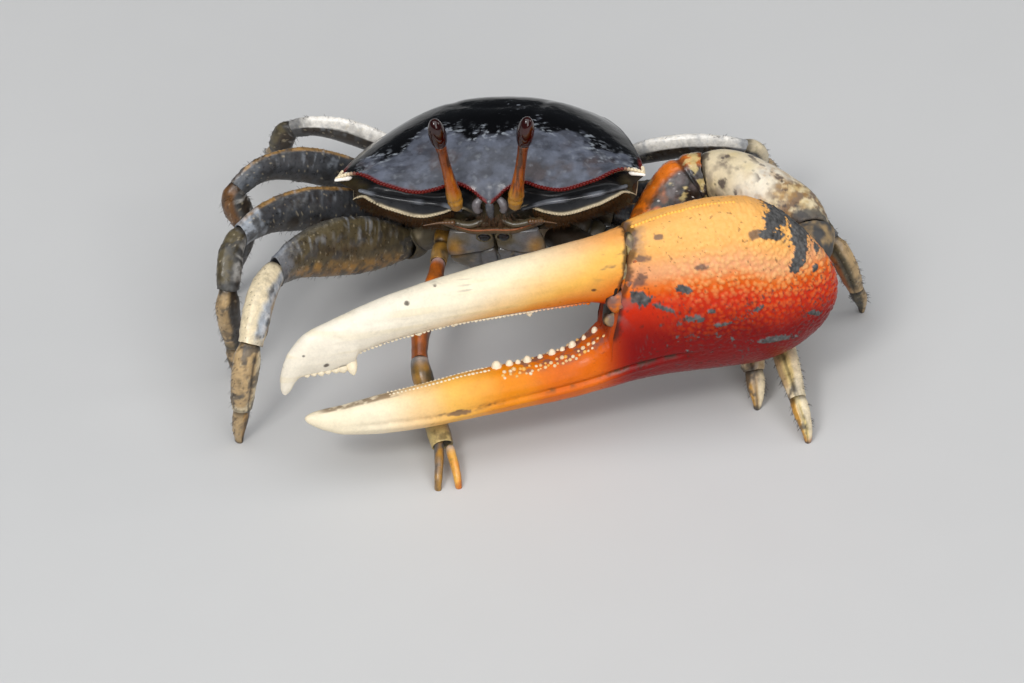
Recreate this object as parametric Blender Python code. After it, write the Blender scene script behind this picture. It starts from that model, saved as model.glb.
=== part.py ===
# A male fiddler crab at life size, standing and feeding, as a museum would show it.
# Lengths below are in millimetres; objects are made in metres. X runs across the crab,
# towards its left side, Y towards its back, and Z up. Its face looks along -Y.

import math

import bmesh
import bpy
import numpy as np

MM = 0.001
GAP = 0.3
UP = np.array([0.0, 0.0, 1.0])
BACK = np.array([0.0, 1.0, 0.0])

# Moves the model so that the middle of its footprint is the origin.
ORIGIN_SHIFT = np.array([-5.95, 9.03, 0.0])

# Body, in its own upright frame. The carapace is widest at its front corners.
CARAPACE_BREADTH = 35.0
CORNER = (CARAPACE_BREADTH / 2, -7.0, 21.0)
DOME_TOP = np.array([0.0, 0.0, 23.8])
DOME_POWER = 1.9
BODY_PIVOT = np.array([0.0, -7.0, 20.0])
BODY_YAW = math.radians(-6.0)
BODY_ROLL = math.radians(-6.5)

# Half of the carapace's edge seen from above, from the tip of the front to the middle of
# the back: x, y, height, and how deep the orbit is cut below the edge.
CARAPACE_EDGE = (
    (0.0, -9.8, 19.3, 0.0),
    (0.8, -9.5, 19.7, 0.0),
    (2.0, -8.8, 20.5, 0.6),
    (3.9, -8.1, 20.9, 1.4),
    (6.0, -8.8, 20.7, 2.5),
    (8.0, -9.2, 20.6, 2.9),
    (12.0, -8.4, 21.2, 2.6),
    (15.4, -7.0, 21.7, 1.5),
    (*CORNER, 0.0),
    (17.0, -4.4, 20.2, 0.0),
    (15.9, -1.0, 19.3, 0.0),
    (14.2, 3.0, 18.2, 0.0),
    (12.2, 7.0, 16.6, 0.0),
    (10.0, 10.6, 14.6, 0.0),
    (7.4, 12.7, 13.2, 0.0),
    (3.6, 13.3, 12.8, 0.0),
    (0.0, 13.4, 12.8, 0.0),
)
EDGE_POINTS = 64
DORSAL_ROWS = (0.22, 0.42, 0.6, 0.75, 0.87, 0.95, 1.0)
# The shell's lower side is a plane that falls towards the back; the legs leave below it.
SHELL_FLOOR = 13.2
SHELL_FLOOR_FALL = 0.12
MOUTH_HALF_WIDTH = 6.0

# Underside that carries the legs, a shallow bowl.
BOWL_CENTRE = np.array([0.0, 2.4])
BOWL_HALF = np.array([10.2, 9.4])
BOWL_RIM = 9.8
BOWL_DEPTH = 3.0
BOWL_ROWS = (1.0, 0.95, 0.82, 0.6, 0.3)

# Narrow tail folded under the body: first its bend behind the bowl (y, z, half width), then
# its run forwards along the bowl (y, half width).
ABDOMEN_BEND = ((12.9, 10.9, 2.9), (12.9, 9.2, 3.1))
ABDOMEN_RUN = ((11.3, 3.1), (8.0, 2.9), (4.5, 2.5), (1.0, 2.1), (-2.2, 1.5), (-3.6, 0.8))
ABDOMEN_THICKNESS = 0.9
MOUTHPART = ((14.9, -9.15, 4.9), (12.6, -9.3, 5.5), (10.2, -8.7, 5.2), (8.2, -7.7, 3.6))
MOUTHPART_THICKNESS = 1.1

# Pose of each walking leg: knee, carpus end, propodus end and toe. Leg 1 is the front one.
# Left is the crab's own left, at +X.
LEG_JOINTS = {
    "leg1_right": ((-24.2, -17.7, 16.0), (-27.0, -26.6, 13.0), (-28.0, -28.6, 5.2), (-28.4, -28.4, 0.0)),
    "leg2_right": ((-28.3, -12.7, 17.0), (-29.6, -18.5, 14.0), (-29.1, -18.2, 5.4), (-28.9, -17.6, 0.0)),
    "leg3_right": ((-28.7, -4.5, 17.0), (-28.0, -5.4, 12.0), (-29.3, -4.6, 5.0), (-29.9, -4.0, 0.0)),
    "leg4_right": ((-22.8, 11.4, 12.2), (-24.4, 11.6, 8.8), (-25.0, 15.9, 4.0), (-25.4, 18.3, 0.0)),
    "leg1_left": ((27.4, -9.4, 8.4), (28.6, -15.0, 6.6), (29.8, -20.4, 3.4), (30.2, -22.8, 0.0)),
    "leg2_left": ((31.8, -6.6, 9.8), (32.4, -14.5, 6.0), (34.6, -25.2, 3.6), (35.8, -28.4, 0.0)),
    "leg3_left": ((33.0, -1.4, 12.4), (38.6, -6.0, 10.4), (41.6, -7.4, 4.2), (42.4, -6.4, 0.0)),
    "leg4_left": ((28.9, 6.3, 13.8), (30.8, 8.6, 9.6), (32.2, 12.6, 4.2), (32.8, 15.0, 0.0)),
}
# Where each pair of legs leaves the body, in the body's frame, for the left side.
HIPS = {
    "leg1": (11.2, -4.2, 9.6),
    "leg2": (12.4, -0.8, 9.5),
    "leg3": (12.6, 3.4, 9.4),
    "leg4": (11.0, 8.2, 9.3),
}
# Half the greatest height and thickness of the merus, carpus, propodus and dactyl.
LEG_HALF_SIZES = {
    "leg1": ((3.1, 1.3), (1.85, 1.25), (1.75, 1.1), (1.05, 0.8)),
    "leg2": ((2.7, 1.3), (1.75, 1.2), (1.5, 1.05), (1.0, 0.75)),
    "leg3": ((2.3, 1.2), (1.6, 1.15), (1.4, 1.0), (0.95, 0.72)),
    "leg4": ((1.95, 1.1), (1.4, 1.05), (1.25, 0.9), (0.85, 0.68)),
}
# Outline of each segment of a leg, as a share of its greatest height from root to end.
SEGMENT_OUTLINES = {
    "merus": ((0.0, 0.5), (0.14, 0.74), (0.35, 0.98), (0.55, 1.0), (0.78, 0.82), (0.92, 0.68), (1.0, 0.56)),
    "carpus": ((0.0, 0.74), (0.2, 0.92), (0.5, 1.0), (0.8, 0.92), (1.0, 0.74)),
    "propodus": ((0.0, 0.72), (0.2, 0.98), (0.5, 0.94), (0.8, 0.8), (1.0, 0.6)),
    "dactyl": ((0.0, 0.92), (0.25, 0.96), (0.5, 0.8), (0.78, 0.54), (1.0, 0.32)),
}
SEGMENTS = tuple(SEGMENT_OUTLINES)
MERUS_ARCH = 0.3
LOW_LEGS = ("leg1_left", "leg2_left", "leg3_left")
LOW_ARCH = -0.12
# Where a leg's base is rooted in the bowl, as a share of its hip's x and y, and the height.
BASE_ROOT = (0.62, 0.85, 10.7)

# Large claw. Its frame: origin at the middle of the palm, a towards the finger tips,
# b towards its upper edge, n out of its outer face.
CLAW_CENTRE = np.array([24.7, -20.2, 17.0])
CLAW_YAW = math.radians(15.0)
CLAW_LEAN = math.radians(14.0)
CLAW_A = np.array([-math.cos(CLAW_YAW), -math.sin(CLAW_YAW), 0.0])
CLAW_LEVEL = np.array([math.sin(CLAW_YAW), -math.cos(CLAW_YAW), 0.0])
CLAW_B = UP * math.cos(CLAW_LEAN) - CLAW_LEVEL * math.sin(CLAW_LEAN)
CLAW_N = CLAW_LEVEL * math.cos(CLAW_LEAN) + UP * math.sin(CLAW_LEAN)
# Palm, from heel to the finger joint: a, lower edge, upper edge, half thickness.
PALM = (
    (-14.5, -4.0, -2.4, 0.5),
    (-14.1, -5.2, -0.6, 1.5),
    (-13.0, -6.9, 1.6, 2.7),
    (-11.0, -8.7, 4.2, 3.8),
    (-8.0, -10.2, 7.3, 4.8),
    (-4.5, -10.8, 9.4, 5.4),
    (0.0, -10.6, 9.9, 5.5),
    (4.5, -10.1, 9.6, 5.0),
    (7.4, -9.9, 9.1, 4.4),
    (9.2, -9.7, 8.7, 3.9),
)
# The joint of the moving finger runs from the palm's upper edge down and outwards.
JOINT_TOP = (9.2, 8.7)
JOINT_SLOPE = 0.27
JOINT_LOWEST = -3.4
# Fixed finger below, from inside the palm to its tip: a, lower edge, upper edge, half thickness.
POLLEX = (
    (1.0, -9.0, -4.0, 3.0),
    (6.0, -9.7, -3.4, 3.4),
    (10.0, -10.6, -3.0, 3.3),
    (13.2, -11.3, -4.2, 3.0),
    (17.0, -11.7, -5.7, 2.7),
    (22.0, -11.8, -6.3, 2.5),
    (28.0, -11.8, -6.4, 2.3),
    (34.0, -11.85, -6.9, 2.1),
    (39.0, -11.7, -7.2, 1.8),
    (43.0, -11.1, -7.6, 1.45),
    (45.8, -9.9, -7.75, 1.0),
    (47.4, -8.5, -7.6, 0.5),
)
# Moving finger above: a, lower edge, upper edge, half thickness.
DACTYL = (
    (12.0, -0.3, 7.9, 3.2),
    (15.5, 0.4, 7.6, 3.1),
    (22.0, 0.5, 7.3, 2.8),
    (28.7, 0.55, 6.7, 2.5),
    (35.7, 0.0, 5.8, 2.2),
    (40.0, -1.3, 4.7, 1.9),
    (43.6, -2.5, 3.6, 1.6),
    (46.8, -2.7, 2.2, 1.25),
    (48.8, -2.9, 0.6, 0.9),
    (49.9, -3.5, -0.9, 0.6),
    (50.0, -4.2, -3.2, 0.3),
)
# Teeth on the cutting edges: a, b at the root, height and half width.
DACTYL_TEETH = ((21.3, 0.9, 1.0, 0.7), (30.0, 0.9, 0.7, 0.5), (34.0, 0.5, 0.7, 0.5), (42.2, -1.7, 1.3, 0.8))
POLLEX_TEETH = ((15.2, -5.4, 1.0, 0.7), (17.8, -6.2, 1.0, 0.7), (21.0, -6.6, 0.9, 0.6), (24.9, -6.8, 1.3, 0.8))
TOOTH_TAPER = 0.45

# Arm of the large claw: base on the body, elbow and wrist, and the way it runs at each.
CLAW_BASE_ROOT = (6.4, -4.6, 10.8)
CLAW_BASE = np.array([14.8, -10.6, 11.8])
CLAW_BASE_WAY = (0.9, 0.0, 0.43)
CLAW_ELBOW = np.array([24.4, -3.4, 18.6])
CLAW_ELBOW_WAY = (0.96, 0.02, 0.2)
CLAW_WRIST = np.array([36.6, -12.6, 17.6])
CLAW_WRIST_WAY = (0.2, -0.95, -0.2)
CLAW_MERUS_HALF = (3.4, 3.1)
CLAW_CARPUS_HALF = (4.3, 4.2)
CLAW_WRIST_HALF = (3.0, 2.6)
CLAW_WRIST_ROOT = (35.0, -16.6, 17.0)
ARM_OUTLINES = {
    "merus": ((0.0, 0.55), (0.2, 0.76), (0.45, 0.96), (0.75, 1.0), (0.92, 0.86), (1.0, 0.72)),
    "carpus": ((0.0, 0.6), (0.14, 0.82), (0.35, 0.98), (0.6, 1.0), (0.82, 0.9), (1.0, 0.68)),
}

# Small feeding claw, on the crab's right: base, elbow, wrist and end of the palm.
FEEDER_JOINTS = ((-6.0, -8.3, 8.9), (-8.0, -22.6, 7.0), (-6.9, -26.2, 4.2), (-5.4, -31.8, 2.4))
FEEDER_ROOT = (-5.0, -2.0, 10.4)
FEEDER_HALF_SIZES = {"merus": (1.8, 1.1), "carpus": (1.4, 1.2), "palm": (1.25, 1.35)}
FEEDER_OUTLINES = {
    "merus": ((0.0, 0.6), (0.25, 0.85), (0.6, 1.0), (0.85, 0.85), (1.0, 0.68)),
    "carpus": ((0.0, 0.8), (0.4, 1.0), (0.75, 0.95), (1.0, 0.8)),
    "palm": ((0.0, 0.75), (0.3, 1.0), (0.7, 1.0), (1.0, 0.8)),
}
FEEDER_FINGER_HALF = (0.7, 0.55)
FIXED_FINGER = ((-6.15, -29.8, 2.8), (-5.9, -36.4, 0.0))
MOVING_FINGER = ((-4.6, -32.0, 2.25), (-3.6, -36.1, 0.0))
FINGER_OUTLINE = ((0.0, 1.0), (0.4, 0.95), (0.75, 0.72), (1.0, 0.5))

# Eyes: foot of each stalk in the body's frame and middle of each eye in the crab's space.
STALK_FEET = {"right": (-3.7, -10.0, 19.4), "left": (3.0, -10.0, 19.4)}
STALK_ROOT = np.array([0.0, 2.4, -2.4])
EYE_CENTRES = {"right": (-6.0, -9.6, 29.5), "left": (3.9, -9.8, 29.9)}
STALK_OUTLINE = ((0.0, 0.9), (0.12, 1.0), (0.32, 0.86), (0.6, 0.69), (0.85, 0.66), (1.0, 0.72))
EYE_OUTLINE = (
    (-1.0, 0.64), (-0.8, 0.82), (-0.45, 0.96), (0.0, 1.0), (0.4, 0.93), (0.75, 0.68), (0.93, 0.38), (1.0, 0.14),
)
EYE_HALF = (1.0, 2.1)
ANTENNA = ((4.4, -9.9, 16.6), (7.6, -11.0, 17.2))
ANTENNA_OUTLINE = ((0.0, 1.0), (0.35, 0.8), (0.7, 0.6), (1.0, 0.4))
ANTENNA_HALF = 0.42

SHELL = ((0.03, 0.03, 0.04), 0.2)
ORANGE = ((0.85, 0.3, 0.06), 0.4)
CREAM = ((0.9, 0.83, 0.68), 0.4)
OLIVE = ((0.2, 0.17, 0.12), 0.5)
FACE = ((0.25, 0.21, 0.15), 0.45)
EYE = ((0.08, 0.02, 0.015), 0.1)


def clear_scene():
    for obj in list(bpy.data.objects):
        bpy.data.objects.remove(obj, do_unlink=True)


def unit(v):
    v = np.asarray(v, float)
    return v / np.linalg.norm(v)


def body_space(points):
    """Points of the body's own frame, turned and tilted to the crab's stance."""
    p = np.atleast_2d(np.asarray(points, float)) - BODY_PIVOT
    c, s = math.cos(BODY_ROLL), math.sin(BODY_ROLL)
    p = p @ np.array([[c, 0, s], [0, 1, 0], [-s, 0, c]]).T
    c, s = math.cos(BODY_YAW), math.sin(BODY_YAW)
    p = p @ np.array([[c, -s, 0], [s, c, 0], [0, 0, 1]]).T
    return p + BODY_PIVOT


def claw_space(points):
    """Points of the large claw's frame (a, b, n) in the crab's space."""
    return CLAW_CENTRE + np.atleast_2d(points) @ np.array([CLAW_A, CLAW_B, CLAW_N])


def smooth_rows(rows, at):
    """Each column of rows, read along its first column with no overshoot."""
    rows = np.asarray(rows, float)
    x = rows[:, 0]
    at = np.clip(at, x[0], x[-1])
    steps = np.diff(x)
    slopes = np.diff(rows, axis=0) / steps[:, None]
    tangents = np.zeros_like(rows)
    tangents[0], tangents[-1] = slopes[0], slopes[-1]
    before, after = slopes[:-1], slopes[1:]
    same = before * after > 0
    harmonic = 2 * before * after / np.where(same, before + after, 1.0)
    tangents[1:-1] = np.where(same, harmonic, 0.0)
    i = np.clip(np.searchsorted(x, at, side="right") - 1, 0, len(steps) - 1)
    h = steps[i][:, None]
    t = ((at - x[i]) / steps[i])[:, None]
    return (
        rows[i] * (1 + 2 * t) * (1 - t) ** 2
        + tangents[i] * h * t * (1 - t) ** 2
        + rows[i + 1] * t * t * (3 - 2 * t)
        + tangents[i + 1] * h * t * t * (t - 1)
    )


def finish_of(name, look):
    made = bpy.data.materials.new(name)
    made.use_nodes = True
    shader = made.node_tree.nodes["Principled BSDF"]
    colour, roughness = look
    shader.inputs["Base Color"].default_value = (*colour, 1.0)
    shader.inputs["Roughness"].default_value = roughness
    shader.inputs["Metallic"].default_value = 0.0
    return made


def mesh_object(name, points, faces, look):
    mesh = bpy.data.meshes.new(name)
    mesh.from_pydata([tuple((p + ORIGIN_SHIFT) * MM) for p in np.asarray(points)], [], faces)
    shape = bmesh.new()
    shape.from_mesh(mesh)
    bmesh.ops.recalc_face_normals(shape, faces=shape.faces)
    if shape.calc_volume(signed=True) < 0:
        bmesh.ops.reverse_faces(shape, faces=shape.faces)
    shape.to_mesh(mesh)
    shape.free()
    finish_mesh(mesh, name, look)
    obj = bpy.data.objects.new(name, mesh)
    bpy.context.scene.collection.objects.link(obj)
    return obj


def finish_mesh(mesh, name, look):
    mesh.materials.clear()
    mesh.materials.append(finish_of(name + "_finish", look))
    mesh.shade_smooth()
    mesh.set_sharp_from_angle(angle=math.radians(50))


def ring(centre, side, up, half_side, half_up, sides, power=2.2):
    """Points of a rounded section, fuller than an ellipse as power grows."""
    points = []
    for i in range(sides):
        angle = 2 * math.pi * (i + 0.5) / sides
        c, s = math.cos(angle), math.sin(angle)
        across = math.copysign(abs(c) ** (2 / power), c) * half_side
        along = math.copysign(abs(s) ** (2 / power), s) * half_up
        points.append(centre + np.asarray(side) * across + np.asarray(up) * along)
    return np.array(points)


def loft(rings):
    """Points and faces of a closed body through rings of one size."""
    count = len(rings[0])
    points = [p for r in rings for p in r]
    faces = []
    for row in range(len(rings) - 1):
        for i in range(count):
            j = (i + 1) % count
            low, high = row * count, (row + 1) * count
            faces.append((low + i, low + j, high + j, high + i))
    for row, flip in ((0, True), (len(rings) - 1, False)):
        middle = len(points)
        points.append(np.mean(rings[row], axis=0))
        for i in range(count):
            j = (i + 1) % count
            edge = (row * count + j, row * count + i) if flip else (row * count + i, row * count + j)
            faces.append((*edge, middle))
    return points, faces


def fuse(name, pieces, look):
    """One closed body from pieces that overlap."""
    objects = [mesh_object(f"{name}_piece{i}", *piece, look) for i, piece in enumerate(pieces)]
    base = objects[0]
    group = bpy.data.collections.new(name + "_pieces")
    bpy.context.scene.collection.children.link(group)
    for obj in objects[1:]:
        bpy.context.scene.collection.objects.unlink(obj)
        group.objects.link(obj)
    join = base.modifiers.new("join", "BOOLEAN")
    join.operation = "UNION"
    join.operand_type = "COLLECTION"
    join.collection = group
    graph = bpy.context.evaluated_depsgraph_get()
    made = bpy.data.meshes.new_from_object(base.evaluated_get(graph))
    base.modifiers.clear()
    base.data = made
    for obj in objects[1:]:
        bpy.data.objects.remove(obj, do_unlink=True)
    bpy.data.collections.remove(group)
    keep_largest(base.data)
    finish_mesh(base.data, name, look)
    base.name = name
    return base


def keep_largest(mesh):
    """Leaves only the closed surface that has the most faces."""
    shape = bmesh.new()
    shape.from_mesh(mesh)
    bmesh.ops.triangulate(shape, faces=shape.faces)
    left = set(shape.faces)
    parts = []
    while left:
        part, front = set(), [left.pop()]
        while front:
            face = front.pop()
            part.add(face)
            for edge in face.edges:
                for other in edge.link_faces:
                    if other in left:
                        left.remove(other)
                        front.append(other)
        parts.append(part)
    largest = max(parts, key=len)
    drop = [f for part in parts if part is not largest for f in part]
    bmesh.ops.delete(shape, geom=drop, context="FACES")
    loose = [v for v in shape.verts if not v.link_faces]
    bmesh.ops.delete(shape, geom=loose, context="VERTS")
    shape.to_mesh(mesh)
    shape.free()


def limb_curve(start, end, start_way, end_way, shares):
    """Points and directions along a smooth bend from one joint to the next."""
    pull = np.linalg.norm(end - start)
    a, b = unit(start_way) * pull, unit(end_way) * pull
    places, ways = [], []
    for t in shares:
        places.append(
            start * (1 + 2 * t) * (1 - t) ** 2 + a * t * (1 - t) ** 2
            + end * t * t * (3 - 2 * t) + b * t * t * (t - 1)
        )
        ways.append(unit(
            (end - start) * 6 * t * (1 - t) + a * (1 - t) * (1 - 3 * t) + b * t * (3 * t - 2)
        ))
    return places, ways


def limb_piece(start, end, start_way, end_way, plane, outline, half, sides, gaps=(1, 1)):
    """One segment of a limb, with flat ends that face its neighbours across the gap."""
    start = np.asarray(start, float) + unit(start_way) * GAP / 2 * gaps[0]
    end = np.asarray(end, float) - unit(end_way) * GAP / 2 * gaps[1]
    places, ways = limb_curve(start, end, start_way, end_way, [row[0] for row in outline])
    half_up, half_side = half
    rings = []
    for place, way, (_, share) in zip(places, ways, outline):
        up = unit(np.cross(plane, way))
        side = unit(np.cross(way, up))
        thick = half_side * (0.35 + 0.65 * share)
        rings.append(ring(place, side, up, thick, half_up * share, sides))
    return loft(rings)


def joint_ways(joints, last_way=None):
    """Direction of the limb's centre line at each of its joints."""
    ways = [unit(joints[1] - joints[0])]
    for before, here, after in zip(joints, joints[1:], joints[2:]):
        ways.append(unit(unit(here - before) + unit(after - here)))
    ways.append(unit(joints[-1] - joints[-2]) if last_way is None else unit(last_way))
    return ways


def leg_line(leg):
    """Joints of a leg from hip to toe, and the normal of the plane that it bends in."""
    pair, side = leg.split("_")
    hip = np.array(HIPS[pair]) * (1 if side == "left" else -1, 1, 1)
    joints = [body_space(hip)[0], *np.array(LEG_JOINTS[leg])]
    hang = unit(joints[-1] - joints[1]) - UP
    return joints, unit(np.cross(joints[1] - joints[0], hang))


def hip_way(leg, joints):
    """A leg leaves the body a little upwards, unless it runs low under the large claw."""
    arch = LOW_ARCH if leg in LOW_LEGS else MERUS_ARCH
    return unit(joint_ways(joints)[0] + UP * arch)


def walking_leg(leg):
    joints, plane = leg_line(leg)
    ways = joint_ways(joints, last_way=-UP)
    ways[0] = hip_way(leg, joints)
    halves = LEG_HALF_SIZES[leg.split("_")[0]]
    for i, segment in enumerate(SEGMENTS):
        toe = segment == "dactyl"
        outline = SEGMENT_OUTLINES[segment]
        piece = limb_piece(
            joints[i], joints[i + 1], ways[i], ways[i + 1], plane, outline, halves[i],
            sides=8 if toe else 10, gaps=(1, 0 if toe else 1),
        )
        mesh_object(f"{leg}_{segment}", *piece, OLIVE)


def limb_base(root, hip, way, plane, half):
    """Short first joint of a limb, from inside the body to the flat end that the limb meets."""
    end = hip - unit(way) * GAP / 2
    root = np.asarray(root, float)
    up = unit(np.cross(plane, way))
    side = unit(np.cross(way, up))
    rings = []
    for t, share in ((0.0, 0.9), (0.6, 1.0), (1.0, 0.9)):
        rings.append(ring(root + (end - root) * t, side, up, half[1] * share, half[0] * share, 10))
    return loft(rings)


def shell_floor(y):
    return SHELL_FLOOR - SHELL_FLOOR_FALL * y


def edge_curve():
    """The shell's edge as a closed loop of points, with the depth of the orbit at each."""
    half = np.array(CARAPACE_EDGE)
    left = half[::-1][:-1] * (-1, 1, 1, 1)
    whole = np.vstack([left, half])
    lengths = np.r_[0, np.cumsum(np.linalg.norm(np.diff(whole[:, :3], axis=0), axis=1))]
    rows = np.column_stack([lengths, whole])
    at = np.linspace(0, lengths[-1], EDGE_POINTS + 1)[:-1]
    return smooth_rows(rows, at)[:, 1:]


def wall_rows(edge):
    """Loops of the shell's side, from its edge down to its floor, with the eye sockets."""
    xy, z, cut = edge[:, :2], edge[:, 2], edge[:, 3]
    inward = np.array([0.0, 1.0]) - xy
    inward /= np.linalg.norm(inward, axis=1)[:, None]
    front = np.clip((-xy[:, 1] - 2.0) / 5.0, 0, 1)
    share = front[:, None]
    under = np.column_stack([xy[:, 0] / -CORNER[0] * 1.5, np.full(len(xy), 0.35)]) * share + inward * (1 - share) * 0.6
    mouth = front * np.clip((MOUTH_HALF_WIDTH + 1.5 - abs(xy[:, 0])) / 1.5, 0, 1)
    floor = shell_floor(xy[:, 1])
    rows = []
    for drop, way_in, share in ((0.5, 0.15, 0.15), (1.2, 0.4, 0.9), (2.9, 0.55, 0.9), (3.8, 0.2, 0.0)):
        deep = way_in + cut * share
        height = z - np.minimum(drop * (0.4 + 0.6 * front), (z - floor) * drop / 6.0)
        rows.append(np.column_stack([xy + inward * deep[:, None], height]))
    top = rows[-1][:, 2]
    for share, way_in in ((0.35, 0.9), (0.7, 2.4), (1.0, 4.0)):
        place = xy + inward * 0.2 + under * way_in
        place[:, 1] += mouth * 1.2 * share
        rows.append(np.column_stack([place, top * (1 - share) + shell_floor(place[:, 1]) * share]))
    return rows


def carapace_mesh():
    edge = edge_curve()
    rows = []
    for share in DORSAL_ROWS:
        flat = DOME_TOP[:2] + (edge[:, :2] - DOME_TOP[:2]) * share
        height = edge[:, 2] + (DOME_TOP[2] - edge[:, 2]) * (1 - share ** DOME_POWER)
        rows.append(np.column_stack([flat, height]))
    rows.extend(wall_rows(edge))
    count = len(edge)
    middle = rows[-1][:, :2].mean(axis=0)
    points = [DOME_TOP, *[p for r in rows for p in r], np.array([*middle, shell_floor(middle[1])])]
    floor = len(points) - 1
    last = floor - count
    faces = []
    for i in range(count):
        j = (i + 1) % count
        faces.append((0, 1 + i, 1 + j))
        faces.append((floor, last + j, last + i))
        for row in range(len(rows) - 1):
            low, high = 1 + row * count, 1 + (row + 1) * count
            faces.append((low + i, high + i, high + j, low + j))
    return body_space(points), faces


def stalk_line(side):
    foot = body_space(STALK_FEET[side])[0]
    eye = np.array(EYE_CENTRES[side])
    return foot, eye, unit(eye - foot)


def build_shell():
    pieces = [carapace_mesh()]
    for side in STALK_FEET:
        foot, _, way = stalk_line(side)
        half = (STALK_OUTLINE[0][1] + 0.15,) * 2
        pieces.append(limb_base(foot + STALK_ROOT, foot, way, BACK, half))
    fuse("carapace", pieces, SHELL)


def bowl_height(x, y):
    away = np.hypot((x - BOWL_CENTRE[0]) / BOWL_HALF[0], (y - BOWL_CENTRE[1]) / BOWL_HALF[1])
    return BOWL_RIM - BOWL_DEPTH * np.sqrt(np.maximum(0.0, 1 - away * away))


def bowl_mesh():
    rows = []
    for share in (None, *BOWL_ROWS):
        loop = []
        for i in range(28):
            angle = 2 * math.pi * i / 28
            way = np.array([math.cos(angle), math.sin(angle)])
            x, y = BOWL_CENTRE + BOWL_HALF * way * (share or 1.0)
            z = bowl_height(x, y) if share else shell_floor(y) - GAP
            loop.append(np.array([x, y, z]))
        rows.append(body_space(loop))
    return loft(rows)


def build_underside():
    pieces = [bowl_mesh()]
    for leg in LEG_JOINTS:
        joints, plane = leg_line(leg)
        half_up, half_side = LEG_HALF_SIZES[leg.split("_")[0]][0]
        half = (half_up * 0.5, half_side * 1.05)
        side = 1 if leg.endswith("left") else -1
        x, y = np.array(HIPS[leg.split("_")[0]])[:2] * BASE_ROOT[:2]
        root = body_space((x * side, y, BASE_ROOT[2]))[0]
        pieces.append(limb_base(root, joints[0], hip_way(leg, joints), plane, half))
    pieces.append(limb_base(CLAW_BASE_ROOT, CLAW_BASE, CLAW_BASE_WAY, BACK, (2.0, 1.8)))
    feeder = np.array(FEEDER_JOINTS)
    pieces.append(limb_base(FEEDER_ROOT, feeder[0], feeder[1] - feeder[0], (1, 0, 0), (1.2, 1.0)))
    fuse("thorax", pieces, FACE)


def build_abdomen():
    """The male's narrow tail, laid along the underside."""
    rings = [(np.array([0.0, y, z]), half_width) for y, z, half_width in ABDOMEN_BEND]
    for y, half_width in ABDOMEN_RUN:
        z = bowl_height(0.0, y) - GAP - ABDOMEN_THICKNESS / 2
        rings.append((np.array([0.0, y, z]), half_width))
    sections = []
    for i, (place, half_width) in enumerate(rings):
        before, after = rings[max(i - 1, 0)][0], rings[min(i + 1, len(rings) - 1)][0]
        up = unit(np.cross((1, 0, 0), after - before))
        sections.append(ring(place, (1, 0, 0), up, half_width, ABDOMEN_THICKNESS / 2, 10, power=3.0))
    points, faces = loft(sections)
    mesh_object("abdomen", body_space(points), faces, FACE)


def build_mouthparts():
    """The two plates that close the mouth."""
    for side, sign in (("right", -1), ("left", 1)):
        sections = []
        for z, y, width in MOUTHPART:
            middle = np.array([sign * (GAP / 2 + width / 2), y, z])
            lean = np.array([0.0, 1.0, -0.35 if z < 11 else 0.1])
            sections.append(ring(middle, (1, 0, 0), unit(lean), width / 2, MOUTHPART_THICKNESS / 2, 10, 3.0))
        points, faces = loft(sections)
        mesh_object(f"maxilliped_{side}", body_space(points), faces, FACE)


def build_eyes():
    for side in STALK_FEET:
        foot, eye, way = stalk_line(side)
        across = unit(np.cross(BACK, way))
        depth = unit(np.cross(way, across))
        start = foot + way * GAP / 2
        end = eye - way * (EYE_HALF[1] + GAP)
        stalk = [ring(start + (end - start) * t, across, depth, r, r, 10, 2.0) for t, r in STALK_OUTLINE]
        mesh_object(f"eyestalk_{side}", *loft(stalk), ORANGE)
        ball = []
        for t, share in EYE_OUTLINE:
            ball.append(ring(eye + way * t * EYE_HALF[1], across, depth, *(EYE_HALF[0] * share,) * 2, 12, 2.0))
        mesh_object(f"eye_{side}", *loft(ball), EYE)


def build_antennae():
    for side, sign in (("right", -1), ("left", 1)):
        root, tip = body_space(np.array(ANTENNA) * (sign, 1, 1))
        way = unit(tip - root)
        piece = limb_piece(root, tip, way, way + UP * 0.3, BACK, ANTENNA_OUTLINE, (ANTENNA_HALF,) * 2, 8, (1, 0))
        mesh_object(f"antenna_{side}", *piece, ORANGE)


def joint_a(b):
    """Where the palm ends, at each height, in the plane of the large claw."""
    return JOINT_TOP[0] + JOINT_SLOPE * (JOINT_TOP[1] - max(b, JOINT_LOWEST))


def claw_rings(rows, sides, lean=None):
    """Sections of the large claw; lean gives how far each one's points shift with height."""
    rings = []
    for row, (a, low, high, half) in enumerate(rows):
        flat = ring(np.zeros(3), (0, 0, 1), (0, 1, 0), half, (high - low) / 2, sides)
        flat += (a, (low + high) / 2, 0)
        if lean:
            for p in flat:
                p[0] += lean[row] * (joint_a(p[1]) - JOINT_TOP[0])
        rings.append(claw_space(flat))
    return rings


def tooth(a, b, height, half_width, direction):
    """A blunt cone on a cutting edge; direction is 1 upwards and -1 downwards."""
    sections = []
    for t, share in ((-0.5, 1.0), (0.15, 1.0), (0.7, 0.75), (1.0, TOOTH_TAPER)):
        centre = np.array([a, b + direction * height * t, 0.0])
        flat = ring(centre, (0, 0, 1), (1, 0, 0), half_width * share, half_width * share, 8, 2.0)
        sections.append(claw_space(flat))
    return loft(sections)


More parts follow.
